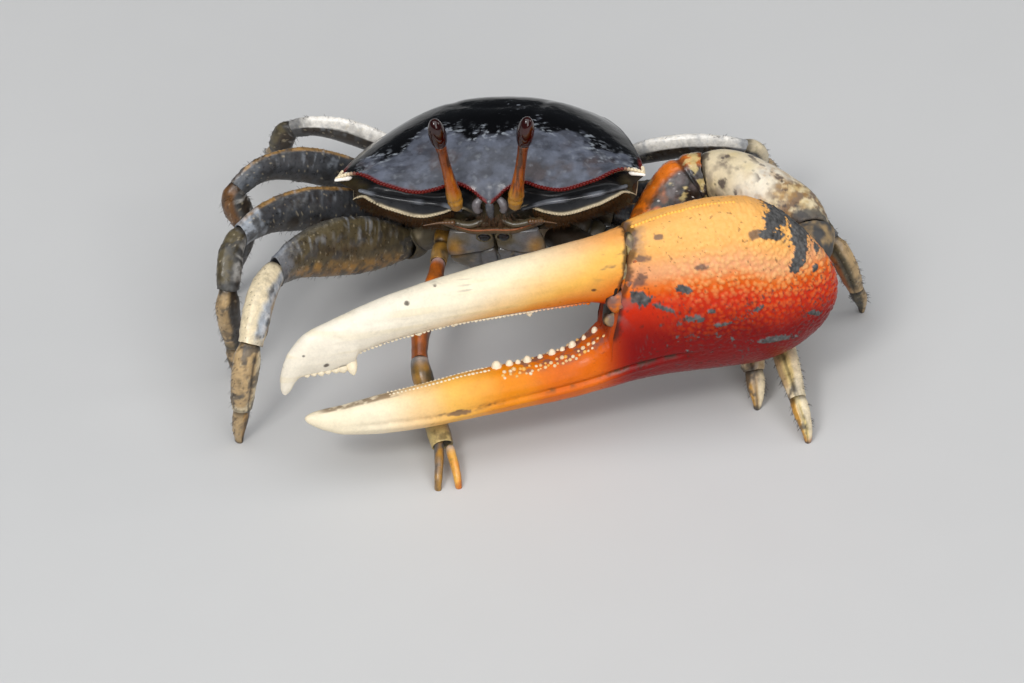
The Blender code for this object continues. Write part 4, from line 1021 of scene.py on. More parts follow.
def legBristles(shape, grid, segment, seed):
    # short hairs along both edges of a segment
    rows, cols = grid.shape[:2]
    rng = np.random.default_rng(seed)
    count = int(shape["length"] * legs["hairsPerMm"] * legs["hairShare"][segment])
    row = rng.integers(limb["rootRows"] + 3, rows - 10, count)
    edge = rng.choice((0.25, 0.75), count, p=(0.45, 0.55))
    col = ((edge + rng.normal(0, 0.025, count)) * cols).astype(int) % cols
    normal = outward(grid)
    root = grid[row, col]
    way = normal[row, col] + shape["ways"][row] * 0.7 + rng.normal(0, 0.2, (count, 3))
    length = rng.uniform(0.25, 0.6, count)
    high = root[:, 2] > legs["hairsAbove"]
    if not high.any():
        return []
    return [hairParts(root[high], way[high], length[high], legs["hairWidth"], hue["umber"], droop=0.15)]


def buildLegs():
    for leg in legs["joints"]:
        joints, ways, plane = legLine(leg)
        for number in range(4):
            legSegment(leg, number, joints, ways, plane)
        print(leg, "made")


# Underside: the breastplate with its grooves, the leg bases and the narrow folded tail
underside = {
    "centre": (0.0, 2.4), "half": (10.2, 9.4), "rim": 9.8, "depth": 3.0,
    "tailBend": ((12.9, 10.9, 2.9), (12.9, 9.2, 3.1)),
    "tailRun": ((11.3, 3.1), (8.0, 2.9), (4.5, 2.5), (1.0, 2.1), (-2.2, 1.5), (-3.6, 0.8)),
    "tailHalf": 0.45, "tailRings": 6.5, "ringDepth": 0.17, "tailRows": 110, "tailCols": 72,
    "grooves": (-3.4, 0.0, 3.6, 7.2), "grooveDepth": 0.35, "cols": 260, "sideRows": 12, "bowlRows": 60,
}


def bowlHeight(x, y):
    (cx, cy), (hx, hy) = underside["centre"], underside["half"]
    away = np.hypot((x - cx) / hx, (y - cy) / hy)
    return underside["rim"] - underside["depth"] * np.sqrt(np.maximum(0.0, 1 - away * away))


def buildUnderside():
    centre, half = np.array(underside["centre"]), np.array(underside["half"])
    cols, sideRows, bowlRows = (underside[k] for k in ("cols", "sideRows", "bowlRows"))
    turn = turnsOf(cols, 0)
    ring = columns([np.cos(turn), np.sin(turn)]) * half
    shares = np.r_[np.full(sideRows, 1.0), np.sqrt(np.linspace(1, 0.0004, bowlRows))]
    wall = np.r_[np.linspace(1, 0.05, sideRows), np.zeros(bowlRows)]
    grid = np.zeros((len(shares), cols, 3))
    grid[..., :2] = centre + ring[None] * shares[:, None, None]
    x, y = grid[..., 0], grid[..., 1]
    grid[..., 2] = bowlHeight(x, y) * (1 - wall[:, None]) + (shellFloor(y) - limb["gap"]) * wall[:, None]
    p = grid.reshape(-1, 3)
    out = np.abs(p[:, 0])
    grooves = np.zeros(len(p))
    for y0 in underside["grooves"]:
        grooves += hill(p[:, 1] - y0 - 0.18 * (out - 3), 0.28) * rise(2.4, 3.6, out)
    height = -underside["grooveDepth"] * grooves + 0.09 * noise(p, 1.0, 3, 301)
    grid = pushed(grid, height)
    tint = coated(
        hue["olive"] * 0.8, p,
        ("cream", 0.62, 1, -0.5, 0.6, 2.2, 3, 303),
        ("umber", 0.5, np.clip(grooves, 0, 1) * 0.8),
    )
    parts = [gridPart(bodyGrid(grid), tint, 0.45)]
    for leg in legs["joints"]:
        joints, ways, plane = legLine(leg)
        pair, side = leg.split("_")
        halfUp, halfSide = legs["halves"][pair][0]
        x, y = np.array(legs["hips"][pair])[:2] * legs["root"][:2]
        root = bodySpace(np.array((x * sides[side], y, legs["root"][2])))
        parts.append(baseSegment(root, joints[0], ways[0], plane, (halfUp * 0.56, halfSide * 1.12), 310))
    parts.append(baseSegment(claw["baseRoot"], claw["base"], claw["baseWay"], back, (2.0, 1.9), 330, "umber"))
    feederRoot, feederBase = np.array(feeder["root"]), np.array(feeder["joints"][0])
    feederWay = np.array(feeder["joints"][1]) - feederBase
    parts.append(baseSegment(feederRoot, feederBase, feederWay, (1, 0, 0), (1.2, 1.0), 340, "ochre"))
    addPiece("breastplate", parts, "softSkin", ["thorax"])
    buildTail()
    print("underside made")


def baseSegment(root, end, way, plane, half, seed, tone="olive"):
    # a limb's short first joints, with a ring groove between them
    root, end = np.array(root, float), np.array(end, float)
    outline = ((0.0, 0.8), (0.45, 1.04), (0.62, 0.94), (0.78, 1.02), (1.0, 0.86))
    shape = limbGrid(root, end, end - root, way, plane, outline, half, (0, 1))
    p = shape["grid"].reshape(-1, 3)
    groove = hill(shape["t"] - 0.62, 0.03)
    height = (0.06 * noise(p, 0.9, 3, seed) - 0.16 * groove) * (1 - shape["inside"])
    tint = coated(
        hue[tone] * 0.75, p,
        ("umber", 1, 1, -0.3, 0.7, 1.2, 3, seed + 1),
        ("cream", 0.8, 0.4, 0.2, 0.8, 1.8, 3, seed + 2),
        ("ink", 1, np.maximum(groove * 0.8, shape["inside"] * 0.9)),
    )
    return gridPart(pushed(shape["grid"], height), tint, 0.42)


def buildTail():
    rows = [(y, z, half) for y, z, half in underside["tailBend"]]
    for y, half in underside["tailRun"]:
        rows.append((y, bowlHeight(0.0, y) - limb["gap"] - underside["tailHalf"], half))
    rows = throughPoints(rows, underside["tailRows"])
    line = columns([np.zeros(len(rows)), rows[:, :2]])
    ways = unit(np.gradient(line, axis=0))
    lift = unit(np.cross((1.0, 0, 0), ways))
    cols = underside["tailCols"]
    turn = turnsOf(cols)
    across = squared(np.cos(turn), 0.85)
    deep = squared(np.sin(turn), 0.85) * underside["tailHalf"]
    close = np.sqrt(rise(-0.004, 0.07, np.linspace(0, 1, len(rows))))[:, None]
    grid = line[:, None] + lift[:, None] * (deep * close)[..., None]
    grid[..., 0] = rows[:, 2:3] * across[None] * (0.7 + 0.3 * close)
    p = grid.reshape(-1, 3)
    share = np.repeat(np.linspace(0, 1, len(rows)), cols)
    rings = hill(share * underside["tailRings"] % 1 - 0.5, 0.07)
    height = -underside["ringDepth"] * rings + 0.04 * noise(p, 0.8, 3, 351)
    grid = pushed(grid, height)
    tint = coated(
        hue["cream"] * 0.6, p,
        ("olive", 1, 1, -0.3, 0.7, 1.6, 3, 353),
        ("umber", 0.5, rings * 0.75),
    )
    addPiece("tail", [gridPart(bodyGrid(grid), tint, 0.42)], "softSkin", ["abdomen"])


# Large claw. Its frame: a towards the finger tips, b towards its upper edge, n out of its outer face
claw = {
    "centre": np.array([24.7, -20.2, 17.0]), "yaw": math.radians(15.0), "lean": math.radians(14.0),
    "step": 0.115, "palmCols": 420, "fingerCols": 300, "square": 2.2, "edgeThin": 0.12,
    # palm, from heel to the finger joint: a, lower edge, widest height, upper edge, half thickness
    "palm": (
        (-14.5, -4.0, -3.2, -2.4, 0.5), (-14.1, -5.2, -2.8, -0.6, 1.5), (-13.0, -6.9, -2.4, 1.6, 2.7),
        (-11.0, -8.7, -1.8, 4.2, 3.8), (-8.0, -10.2, -1.2, 7.3, 4.8), (-4.5, -10.8, -0.8, 9.4, 5.4),
        (0.0, -10.6, -1.2, 9.9, 5.5), (4.5, -10.2, -2.9, 9.6, 4.9), (7.4, -10.35, -5.4, 9.1, 4.0),
        (9.2, -10.65, -7.1, 8.7, 3.35),
    ),
    "pollex": (
        (12.75, -10.7, -7.2, -3.5, 3.28), (14.4, -10.9, -7.8, -4.5, 3.05), (17.0, -11.2, -8.4, -5.6, 2.75),
        (22.0, -11.5, -8.9, -6.3, 2.5), (28.0, -11.7, -9.1, -6.4, 2.3), (34.0, -11.85, -9.5, -6.9, 2.1),
        (39.0, -11.7, -9.5, -7.2, 1.8), (43.0, -11.1, -9.4, -7.6, 1.45), (45.4, -10.15, -9.0, -7.7, 1.05),
        (46.7, -9.35, -8.6, -7.85, 0.72), (47.4, -8.8, -8.45, -8.1, 0.4), (47.6, -8.5, -8.4, -8.3, 0.15),
    ),
    "dactyl": (
        (9.56, -0.3, 4.0, 8.4, 3.2), (12.0, -0.2, 3.9, 7.85, 3.2), (15.5, 0.4, 3.9, 7.5, 3.05),
        (22.0, 0.5, 3.7, 7.0, 2.75), (28.7, 0.55, 3.4, 6.35, 2.45), (35.7, 0.0, 2.6, 5.3, 2.15),
        (39.9, -0.75, 1.75, 4.35, 1.87), (41.0, -1.15, 1.5, 4.05, 1.8), (41.7, -2.25, 1.15, 3.85, 1.72),
        (43.6, -2.7, 0.6, 3.35, 1.6), (46.8, -2.8, -0.2, 2.2, 1.25),
        (47.9, -3.0, -0.8, 1.3, 1.05), (48.5, -3.7, -1.4, 0.7, 0.9), (49.1, -4.6, -2.3, -0.1, 0.72),
        (49.6, -4.9, -3.1, -1.1, 0.52), (49.95, -4.6, -3.6, -2.4, 0.3), (50.05, -4.1, -3.8, -3.4, 0.12),
    ),
    "jointTop": (9.2, 8.7), "jointSlope": 0.27, "jointLowest": -3.4,
    "mud": (  # a, b, half length, half width and tilt of each patch on the palm
        (-8.2, 7.6, 2.2, 1.5, -0.5), (-10.3, 5.4, 1.9, 1.9, -0.6), (-9.2, 3.0, 0.9, 1.5, 0.2),
        (-6.6, 6.2, 1.5, 0.6, 0.3), (-14.3, 0.6, 0.5, 1.0, 0.3),
        (-8.3, 2.0, 0.4, 0.35, 0.0), (-11.2, 1.1, 0.35, 0.35, 0.0), (-11.9, 2.6, 0.5, 0.4, 0.0),
        (8.9, 1.4, 1.0, 0.9, 0.0), (6.9, 0.2, 1.6, 0.32, 0.45), (4.2, 2.1, 0.95, 0.45, 0.3),
        (3.3, -1.6, 1.0, 0.42, 0.2), (0.2, -2.8, 1.1, 0.3, 0.1), (-4.0, -1.6, 0.6, 0.25, -0.4),
        (-5.6, -6.3, 2.3, 0.42, 0.15), (1.5, -0.9, 0.5, 0.25, 0.0), (-10.8, -4.4, 1.2, 0.3, 0.5),
    ),
    "stains": ((6.4, 8.0, 0.8, 0.35), (2.0, 4.5, 1.2, 0.5), (8.5, 6.0, 0.8, 0.6), (-4.3, 6.8, 0.9, 0.5),
               (8.9, 3.6, 0.8, 0.9)),
    "groove": ((2.0, -6.3), (6.2, -6.5), (9.4, -7.0), (17.0, -8.8), (25.8, -9.5), (32.8, -10.0), (46.0, -9.6)),
    # arm: base on the body, elbow and wrist, and the way it runs at each
    "baseRoot": (6.4, -4.6, 10.8), "base": (14.8, -10.6, 11.8), "baseWay": (0.9, 0.0, 0.43),
    "elbow": (24.4, -3.4, 18.1), "elbowWay": (0.96, 0.02, 0.2),
    "wrist": (35.8, -12.8, 17.4), "wristWay": (0.2, -0.95, -0.2), "wristRoot": (35.0, -16.6, 17.0),
    "merusHalf": (3.4, 3.1), "carpusHalf": (3.5, 3.4),
    "granules": 0.17, "granulesApart": 0.64, "tinyGranules": 0.03, "tinyApart": 0.38,
    "crest": (-3.0, 9.0, 0.42), "crestHalf": 0.27,
    "knobs": (  # along the fixed finger: a and half width
        (13.6, 0.42), (14.9, 0.3), (16.3, 0.5), (17.5, 0.34), (18.7, 0.5), (20.1, 0.36), (21.6, 0.55),
        (22.7, 0.36), (23.7, 0.5), (25.2, 0.66),
    ),
    "knobRows": ((72, 0.27, 0.62), (58, 0.2, 0.5), (112, 0.24, 0.6)), "knobReach": (13.0, 25.2),
    "beadRows": (88, 110), "beadReach": (26.0, 38.0, 0.46), "beadHalf": (0.24, 0.14),
    "fineRows": (-66, -92), "fineReach": (14.6, 41.0, 0.46),
    "teeth": (  # along the moving finger: a, half width and height
        (21.3, 0.5, 0.65), (41.95, 0.8, 1.3), (42.9, 0.8, 0.6), (34.0, 0.5, 0.36), (30.0, 0.42, 0.34),
        (43.7, 0.6, 0.42), (44.6, 0.5, 0.36), (45.4, 0.5, 0.42), (46.2, 0.42, 0.3), (47.0, 0.4, 0.26),
    ),
    "spots": (  # dark specks on the moving finger: a, b and half width
        (35.3, 4.7, 0.28), (44.9, -1.4, 0.35), (31.8, 5.9, 0.2), (14.2, 3.0, 0.3), (47.4, 0.2, 0.2),
    ),
    "lobes": (  # down the hinge: place, half sizes, colour
        ((9.5, 7.2, 1.5), (0.6, 1.5, 1.05), "straw"), ((8.9, 5.0, 2.2), (1.1, 1.4, 0.9), "orange"),
        ((10.8, 4.5, 2.3), (0.9, 1.3, 0.9), "straw"), ((10.0, 2.8, 2.4), (1.2, 1.5, 0.95), "orange"),
        ((11.1, 0.7, 2.2), (1.7, 1.5, 1.1), "orange"), ((11.4, -1.7, 1.6), (1.7, 1.1, 1.1), "tan"),
    ),
    "merusOutline": ((0.0, 0.55), (0.2, 0.76), (0.45, 0.96), (0.75, 1.0), (0.92, 0.86), (1.0, 0.72)),
    "carpusOutline": ((0.0, 0.6), (0.14, 0.82), (0.35, 0.98), (0.6, 1.0), (0.82, 0.9), (1.0, 0.68)),
}
clawA = np.array([-math.cos(claw["yaw"]), -math.sin(claw["yaw"]), 0.0])
clawLevel = np.array([math.sin(claw["yaw"]), -math.cos(claw["yaw"]), 0.0])
clawB = up * math.cos(claw["lean"]) - clawLevel * math.sin(claw["lean"])
clawN = clawLevel * math.cos(claw["lean"]) + up * math.sin(claw["lean"])


def clawSpace(points):
    return claw["centre"] + np.asarray(points, float) @ np.array([clawA, clawB, clawN])


def clawWay(ways):
    return np.asarray(ways, float) @ np.array([clawA, clawB, clawN])


def jointA(b):
    return claw["jointTop"][0] + claw["jointSlope"] * (claw["jointTop"][1] - np.maximum(b, claw["jointLowest"]))


def clawRings(rows, leans, cols, power=claw["square"], edge=0.0, topPower=None):
    # sections of the claw; edge makes the lower side thinner, as on a cutting edge
    c, s = np.cos(turnsOf(cols)), np.sin(turnsOf(cols))
    a, low, mid, high, half = (rows[:, k:k + 1] for k in range(5))
    power = np.full((len(rows), 1), power) if topPower is None else np.where(s > 0, topPower[:, None], power)
    across = squared(c, 2 / power) * (1 - edge * np.maximum(-s, 0))
    along = squared(s, 2 / power)
    b = mid + along * np.where(s > 0, high - mid, mid - low)
    shift = leans[:, None] * (jointA(b) - claw["jointTop"][0])
    return np.stack([a + shift, b, across * half], -1)


def evenRows(table, step):
    # rows of a table at even steps along its outline
    table = np.array(table)
    reach = np.r_[0, np.cumsum(np.maximum(np.linalg.norm(np.diff(table[:, (0, 3)], axis=0), axis=1), 0.3))]
    at = np.linspace(0, reach[-1], int(reach[-1] / step))
    return smoothRows(columns([reach, table]), at)[:, 1:]


def edgeOfClaw(name, a, which):
    table = np.array(claw[name])
    return np.interp(a, table[:, 0], table[:, which])


def buildPalm():
    palm = evenRows(claw["palm"], claw["step"])
    pollex = evenRows(claw["pollex"], claw["step"] * 1.1)
    rows = np.vstack([palm, pollex])
    leans = np.r_[np.maximum(0, palm[:, 0] / claw["palm"][-1][0]), np.zeros(len(pollex))]
    boxy = claw["square"] + 1.3 * np.r_[rise(2.0, 9.2, palm[:, 0]), rise(15.5, 12.7, pollex[:, 0])]
    local = clawRings(rows, leans, claw["palmCols"], topPower=boxy)
    p = local.reshape(-1, 3)
    a, b, n = p.T
    outer = rise(-0.5, 1.0, n)
    flat = columns([a, b * 1.05])

    # granules in loose rows, strongest towards the heel
    dots, tag = grains(flat + 0.12 * noise(p, 0.9, 2, 403)[:, None], claw["granulesApart"], 401, 0.85)
    small = grains(flat, claw["tinyApart"], 409, 0.8)[0]
    grainy = rise(9.5, 2.0, a) * rise(-9.5, -2.0, b) * (1 - 0.55 * rise(4.5, 8.0, b))
    bump = np.sqrt(np.maximum(0, 1 - (dots / 0.46) ** 2)) * (0.6 + 0.4 * tag)
    tiny = np.sqrt(np.maximum(0, 1 - (small / 0.42) ** 2))
    height = claw["granules"] * bump * grainy * (0.25 + 0.75 * outer)
    height += claw["tinyGranules"] * tiny * rise(20, 6, a)
    height += 0.06 * noise(p, 2.8, 2, 411) + 0.012 * noise(p, 0.4, 2, 413)

    # the lower groove and the ridge under it, and a beaded crest on top
    groove = smoothRows(claw["groove"], a)[:, 1]
    away = b - groove
    deep = hill(away - 0.1, 0.3) * rise(1.5, 6.0, a) * rise(46, 38, a)
    ridge = 0.14 * hill(away + 0.55, 0.4) * rise(3, 9, a) * rise(46, 38, a)
    height += (ridge - 0.22 * deep * rise(28, 14, a) - 0.08 * deep) * rise(-0.2, 0.6, n)
    crest = hill(edgeOfClaw("palm", a, 3) - b - 0.9, 0.22) * rise(-5, 0, a) * rise(9.2, 8.0, a)
    height -= 0.1 * crest * outer

    # mud that dried in lumps on the outer face
    mud = np.zeros(len(a))
    warp = 0.45 * noise(p, 1.3, 4, 421) + 0.25 * noise(p, 0.4, 2, 425)
    for ca, cb, long, wide, tilt in claw["mud"]:
        c, s = math.cos(tilt), math.sin(tilt)
        da, db = (a - ca) * c + (b - cb) * s, -(a - ca) * s + (b - cb) * c
        away = np.hypot(da / long, db / wide)
        mud = np.maximum(mud, rise(1.15, 0.85, away + warp * 1.35) + 0.3 * rise(2.4, 1.2, away))
        mud = np.minimum(mud, 1.0)
    ragged = noise(p, 0.45, 3, 427)
    loose = mottle(p, 0.25, 0.42, 0.42, 3, 429) * rise(0.02, 0.5, mud)
    mud = np.maximum(mud * rise(-0.75, -0.45, ragged), loose)
    mud *= rise(0.4, 1.2, n + 2.2 * rise(-4, -7, a) * rise(3, 5, b) + 1.2 * ragged + 0.8 * warp)
    flecks = mottle(p, 0.44, 0.58, 0.55, 3, 431) * rise(0.5, 1.0, n) * rise(12, 6, a) * rise(-9, -4, a)
    flecks *= rise(3, -2, b) * rise(-8.5, -6, b)
    mud = np.maximum(mud, flecks * 0.8)
    height += rise(0.4, 0.9, mud) * (0.13 + 0.16 * noise(p, 0.4, 3, 433))
    mud = rise(0.45, 0.75, mud)
    grid = pushed(clawSpace(local), height)

    # paint: amber on top, orange, flame red, then scarlet at the lower edge; cream towards the tip
    wander = 0.5 * noise(p, 3.0, 3, 441)
    level = b + wander + 0.35 * (bump - 0.4) * grainy
    level = level + 2.0 * rise(-1, -8, a) * rise(-8, -4, b)
    peach = (0.14 + 0.2 * rise(7, 4.5, level)) * rise(2.0, 4.5, level) * rise(-1, 0.3, n)
    finger = rise(9.8, 15, a + wander * 0.5) * rise(-2.0, -4.0, b)
    tint = coated(
        blend(hue["amber"], hue["orange"], 0.3), p,
        ("orange", 1, rise(7.5, 4.0, level)),
        ("cream", 1, peach),
        ("flame", 1, rise(3.8, 0.2, level)),
        ("scarlet", 1, rise(1.2, -4.5, level)),
        # painted highlight: granule tops painted amber-cream in the upper part and light orange on the red
        # below
        (blend(hue["amber"], hue["cream"], 0.3), 1, bump * grainy * rise(-1.5, 3.0, level) * 0.38),
        ("orange", 1, bump * grainy * rise(1.0, -1.0, b) * rise(-6, -2, b) * 0.18),
    )
    fingerTone = coated(
        hue["flame"], p,
        ("orange", (0.85, 0.72, 0.5), rise(10, 15, a)),
        ("orange", (1, 1.35, 0.7), rise(18, 24, a + wander * 2)),
        ("amber", 0.9, rise(24, 31, a + wander * 2)),
        ("ivory", 0.94, rise(30, 41, a + wander * 2)),
    )
    dirt = deep * rise(-0.1, 0.5, n) * rise(-0.2, 0.5, noise(p, 0.8, 3, 443) + 0.3 * rise(14, 8, a))
    stain = np.zeros(len(a))
    tint = coated(
        tint, p,
        (fingerTone, 1, finger),
        ("amber", 0.95, rise(-0.2, -0.7, away) * rise(10, 18, a) * rise(30, 20, a) * 0.6),
        (blend(hue["umber"], hue["bark"], rise(8, 20, a)), 1, dirt * (0.9 - 0.75 * rise(30, 36, a))),
    )
    for ca, cb, long, wide in claw["stains"]:
        stain = np.maximum(stain, rise(1.1, 0.6, np.hypot((a - ca) / long, (b - cb) / wide) + warp * 1.6))
    stain = np.maximum(stain, rise(1.1, 0.6, np.hypot((a - 30.6) / 2.0, (b + 9.9) / 0.4) + warp * 1.2))
    below = b - edgeOfClaw("pollex", a, 3)
    cutting = rise(-0.9, -0.2, below) * rise(12.4, 13.5, a) * rise(25, 22, a)
    edgeLine = rise(-0.16, -0.04, below) * rise(36, 38, a) * rise(46.4, 45, a)
    dried = hue["clay"] * (1.3 + 1.1 * noise(p, 0.4, 3, 451))[:, None]
    crumbs = mottle(p, 0.36, 0.48, 0.28, 2, 455) * mottle(p, -0.25, 0.3, 2.2, 3, 456) * rise(4, 0, b)
    seam = rise(0.7, 0.2, jointA(b) - a + 0.5 * noise(p, 0.8, 3, 458))
    seam *= rise(-4.2, -3.2, b) * rise(13, 12.5, a)
    blush = rise(2.6, 0.6, jointA(b) - a) * rise(-3, 0, b) * mottle(p, -0.1, 0.4, 1.1, 3, 459)
    rough = 0.34 - 0.06 * bump * grainy + 0.2 * mud + 0.05 * noise(p, 1.0, 2, 457)
    tint = coated(
        tint, p,
        ("smoke", 0.7, stain * rise(0.3, 1.0, n) * 0.8),
        ("smoke", 1, cutting * 0.75, -0.3, 0.4, 0.6, 3, 447),
        ("bark", 0.8, edgeLine * 0.7, -0.5, 0.1, 0.7, 3, 449),
        ("ink", 1, rise(0.05, 0.3, mud) * 0.6),
        (dried, 1, rise(0.3, 0.7, mud)),
        ("clay", 0.8, crumbs * rise(12, 7, a) * outer * 0.75),
        ("umber", 0.6, rise(20, 8, a) * 0.5, 0.5, 0.6, 0.35, 2, 453),
        ("umber", 0.5, seam * 0.8),
        ("smoke", 1.2, blush * 0.5),
    )
    parts = [gridPart(grid, tint, rough)]

    # neck that turns in the wrist
    neck = limbGrid(claw["wristRoot"], claw["wrist"], -np.array(claw["wristWay"]), -np.array(claw["wristWay"]),
                    (1, 0, 0), ((0, 0.9), (0.6, 1.0), (1, 0.9)), (2.6, 3.0), (0, 1))
    q = neck["grid"].reshape(-1, 3)
    neckHeight = 0.12 * noise(q, 0.8, 3, 463) * (1 - neck["inside"])
    neckTint = blend(hue["clay"], hue["tan"] * 0.7, mottle(q, -0.1, 0.6, 1.2, 3, 461))
    parts.append(gridPart(pushed(neck["grid"], neckHeight), neckTint, 0.5))
    addPiece("palm", parts, "clawEnamel", ["claw_palm"])
    print("palm made")


def onEdge(name, a, turn):
    # places and ways on the skin of a finger, at an angle round it from its outer side
    table = smoothRows(claw[name], a)
    turn = np.broadcast_to(turn, np.shape(a))
    c, s = np.cos(turn), np.sin(turn)
    half = np.where(s > 0, table[:, 3] - table[:, 2], table[:, 2] - table[:, 1])
    along, across = (squared(s, 0.91), squared(c, 0.91))
    place = columns([a, table[:, 2] + along * half, across * table[:, 4]])
    way = columns([a * 0, np.sign(s) * np.abs(along) ** 1.2 / half,
                           np.sign(c) * np.abs(across) ** 1.2 / table[:, 4]])
    return clawSpace(place), clawWay(unit(way))


def crestBeads():
    # beads on the palm's upper edge and teeth on both cutting edges
    a = np.arange(*claw["crest"])
    top = columns([a, edgeOfClaw("palm", a, 3) - 0.05, np.full(len(a), 0.6)])
    parts = [domeParts(clawSpace(top), clawWay((0, 1, 0.15)), claw["crestHalf"], 0.26, hue["amber"], 0.35)]
    rng = np.random.default_rng(7)

    big, size = np.array(claw["knobs"]).T
    rows, ways = onEdge("pollex", big, math.radians(98))
    parts.append(domeParts(rows, ways, size, size * 1.15, hue["ivory"], 0.3, 0.85))
    for turn, sizes, step in claw["knobRows"]:
        here = np.arange(*claw["knobReach"], step)
        here = here + rng.normal(0, 0.12, len(here))
        row, ways = onEdge("pollex", here, math.radians(turn) + rng.normal(0, 0.06, len(here)))
        size = sizes * rng.uniform(0.6, 1.2, len(here))
        tone = blend(hue["ivory"], hue["amber"], rng.uniform(0.1, 1.0, len(here))) * 0.85
        parts.append(domeParts(row, ways, size, size * 0.8, tone, 0.32))
    start, end, step = claw["beadReach"]
    for turn in claw["beadRows"]:
        here = np.arange(start + turn / 400, end, step)
        row, ways = onEdge("pollex", here, np.full(len(here), math.radians(turn)))
        size = np.interp(here, (start, end), claw["beadHalf"]) * rng.uniform(0.75, 1.15, len(here))
        parts.append(domeParts(row, ways, size, size * 0.55, hue["ivory"] * 0.95, 0.35))
    addPiece("crestBeads", parts, "clawEnamel")


def buildDactyl():
    rows = evenRows(claw["dactyl"], claw["step"] * 1.1)
    lean = rise(13.5, 9.6, rows[:, 0])
    local = clawRings(rows, lean, claw["fingerCols"], 2.15, claw["edgeThin"])
    p = local.reshape(-1, 3)
    a, b, n = p.T
    height = 0.07 * noise(p, 3.2, 2, 501) + 0.010 * noise(p, 0.5, 2, 503)
    line = softNoise(columns([a / 7.0, b / 0.5, n / 2.0]), 1.0, 505)
    height += 0.03 * line * rise(12, 18, a)
    rim = rise(12.6, 11.4, a - 0.27 * (8.7 - b) + 1.2)
    height += 0.1 * rim * noise(p, 0.9, 3, 507)
    pits = rise(0.3, 0.12, grains(p, 1.3, 511, 0.9)[0])
    height -= 0.05 * pits * mottle(p, 0.3, 0.6, 2.0, 2, 513)
    grid = pushed(clawSpace(local), height)

    wander = 0.8 * noise(p, 3.0, 3, 521)
    scratch = rise(0.62, 0.78, softNoise(columns([a / 3.2, b / 0.22, n]), 1.0, 523)) * rise(13, 18, a)
    tint = coated(
        hue["flame"], p,
        ("orange", 1, rise(0.0, 2.6, b + wander * 0.6 + (a - 12) * 0.22)),
        ("amber", 0.9, rise(2.2, 6.0, b + wander * 0.7 + (a - 12) * 0.27)),
        ("orange", 1, rise(7.0, 8.0, b + 0.1 * (a - 12)) * rise(22, 12, a) * 0.5),
        ("ivory", 0.92, rise(16, 31, a + wander + 2.0 * (b - 4))),
        ("bone", 0.9, rise(27, 40, a + wander) * 0.5),
        ("straw", 1, rise(0.25, 0.7, line) * 0.2 * rise(14, 20, a)),
        ("smoke", 1, scratch * 0.35, 0.2, 0.6, 3.0, 2, 525),
    )
    for ca, cb, size in claw["spots"]:
        spot = rise(1.2, 0.6, np.hypot(a - ca, (b - cb) * 1.3) / size + 0.3 * noise(p, 0.4, 2, 527))
        tint = blend(tint, hue["umber"], spot * rise(0.2, 0.8, n) * 0.85)
    stain = mottle(columns([a / 2.4, b, n]), 0.3, 0.62, 0.7, 3, 529)
    stain *= rise(15.5, 12.5, a) * rise(3, 6, b)
    edge = rise(0.55, 0.1, a - jointA(b) - 0.3 + 0.45 * noise(p, 0.8, 3, 533))
    rough = 0.33 + 0.06 * noise(p, 1.2, 2, 531)
    tint = coated(
        tint, p,
        ("smoke", 0.6, stain * 0.8 * rise(0.3, 1, n)),
        ("umber", 0.5, edge * 0.85),
    )
    parts = [gridPart(grid, tint, rough)]

    # teeth: a fine even row, one white tooth at the middle, a big one near the tip and small ones past it
    rng = np.random.default_rng(9)
    for turn in claw["fineRows"]:
        here = np.arange(*claw["fineReach"])
        row, ways = onEdge("dactyl", here, np.full(len(here), math.radians(turn)))
        size = np.interp(here, (14, 30, 41), (0.24, 0.24, 0.2)) * rng.uniform(0.75, 1.2, len(here))
        warm = blend(hue["orange"], hue["ivory"] * 0.95, rise(14, 23, here))
        parts.append(domeParts(row, ways, size, size * 0.7, warm, 0.35))
    teeth = np.array(claw["teeth"])
    row, ways = onEdge("dactyl", teeth[:, 0], np.full(len(teeth), math.radians(-76)))
    ways = ways + clawWay((-0.12, 0, 0))
    parts.append(domeParts(row, ways, teeth[:, 1], teeth[:, 2], hue["ivory"], 0.32, 1.35))
    addPiece("movingFinger", parts, "clawEnamel", ["claw_dactyl"])

    # hinge: soft dark skin in the gap, a pale condyle on top and lobes down the outer side
    core = np.array([[jointA(b) + 0.15, b, 0.2] for b in np.linspace(6.4, -1.4, 30)])
    parts = [tubePart(clawSpace(core), np.interp(np.linspace(0, 1, 30), (0, 0.5, 1), (1.6, 2.9, 1.8)),
                      hue["umber"] * 0.4, 0.4, cols=40, flat=0.32)]
    for place, half, tone in claw["lobes"]:
        parts.append(lobePart(place, half, hue[tone]))
    addPiece("fingerHinge", parts, "clawEnamel")
    print("moving finger made")


def lobePart(place, half, tone):
    turnUp = np.linspace(-math.pi / 2 + 0.06, math.pi / 2 - 0.06, 24)
    turn = turnsOf(36, 0)
    grid = np.stack([
        np.outer(np.cos(turnUp), np.cos(turn)) * half[0],
        np.repeat(np.sin(turnUp)[:, None], 36, axis=1) * half[1],
        np.outer(np.cos(turnUp), np.sin(turn)) * half[2],
    ], -1) + np.array(place)
    p = grid.reshape(-1, 3)
    height = 0.22 * noise(p, 0.9, 4, 541)
    grid = pushed(grid, height)
    # painted shade: each lobe darkens towards its inner side, where it sinks into the hinge crevice
    rim = rise(0.55, 0.25, (p[:, 2] - place[2]) / half[2])
    tint = coated(
        tone * 0.8, p,
        ("smoke", 1, 0.85, -0.5, 0.3, 0.7, 3, 543),
        # painted shade in the crevice round the lobe
        ("umber", 0.4, rim * 0.9),
    )
    return gridPart(clawSpace(grid), tint, 0.33)


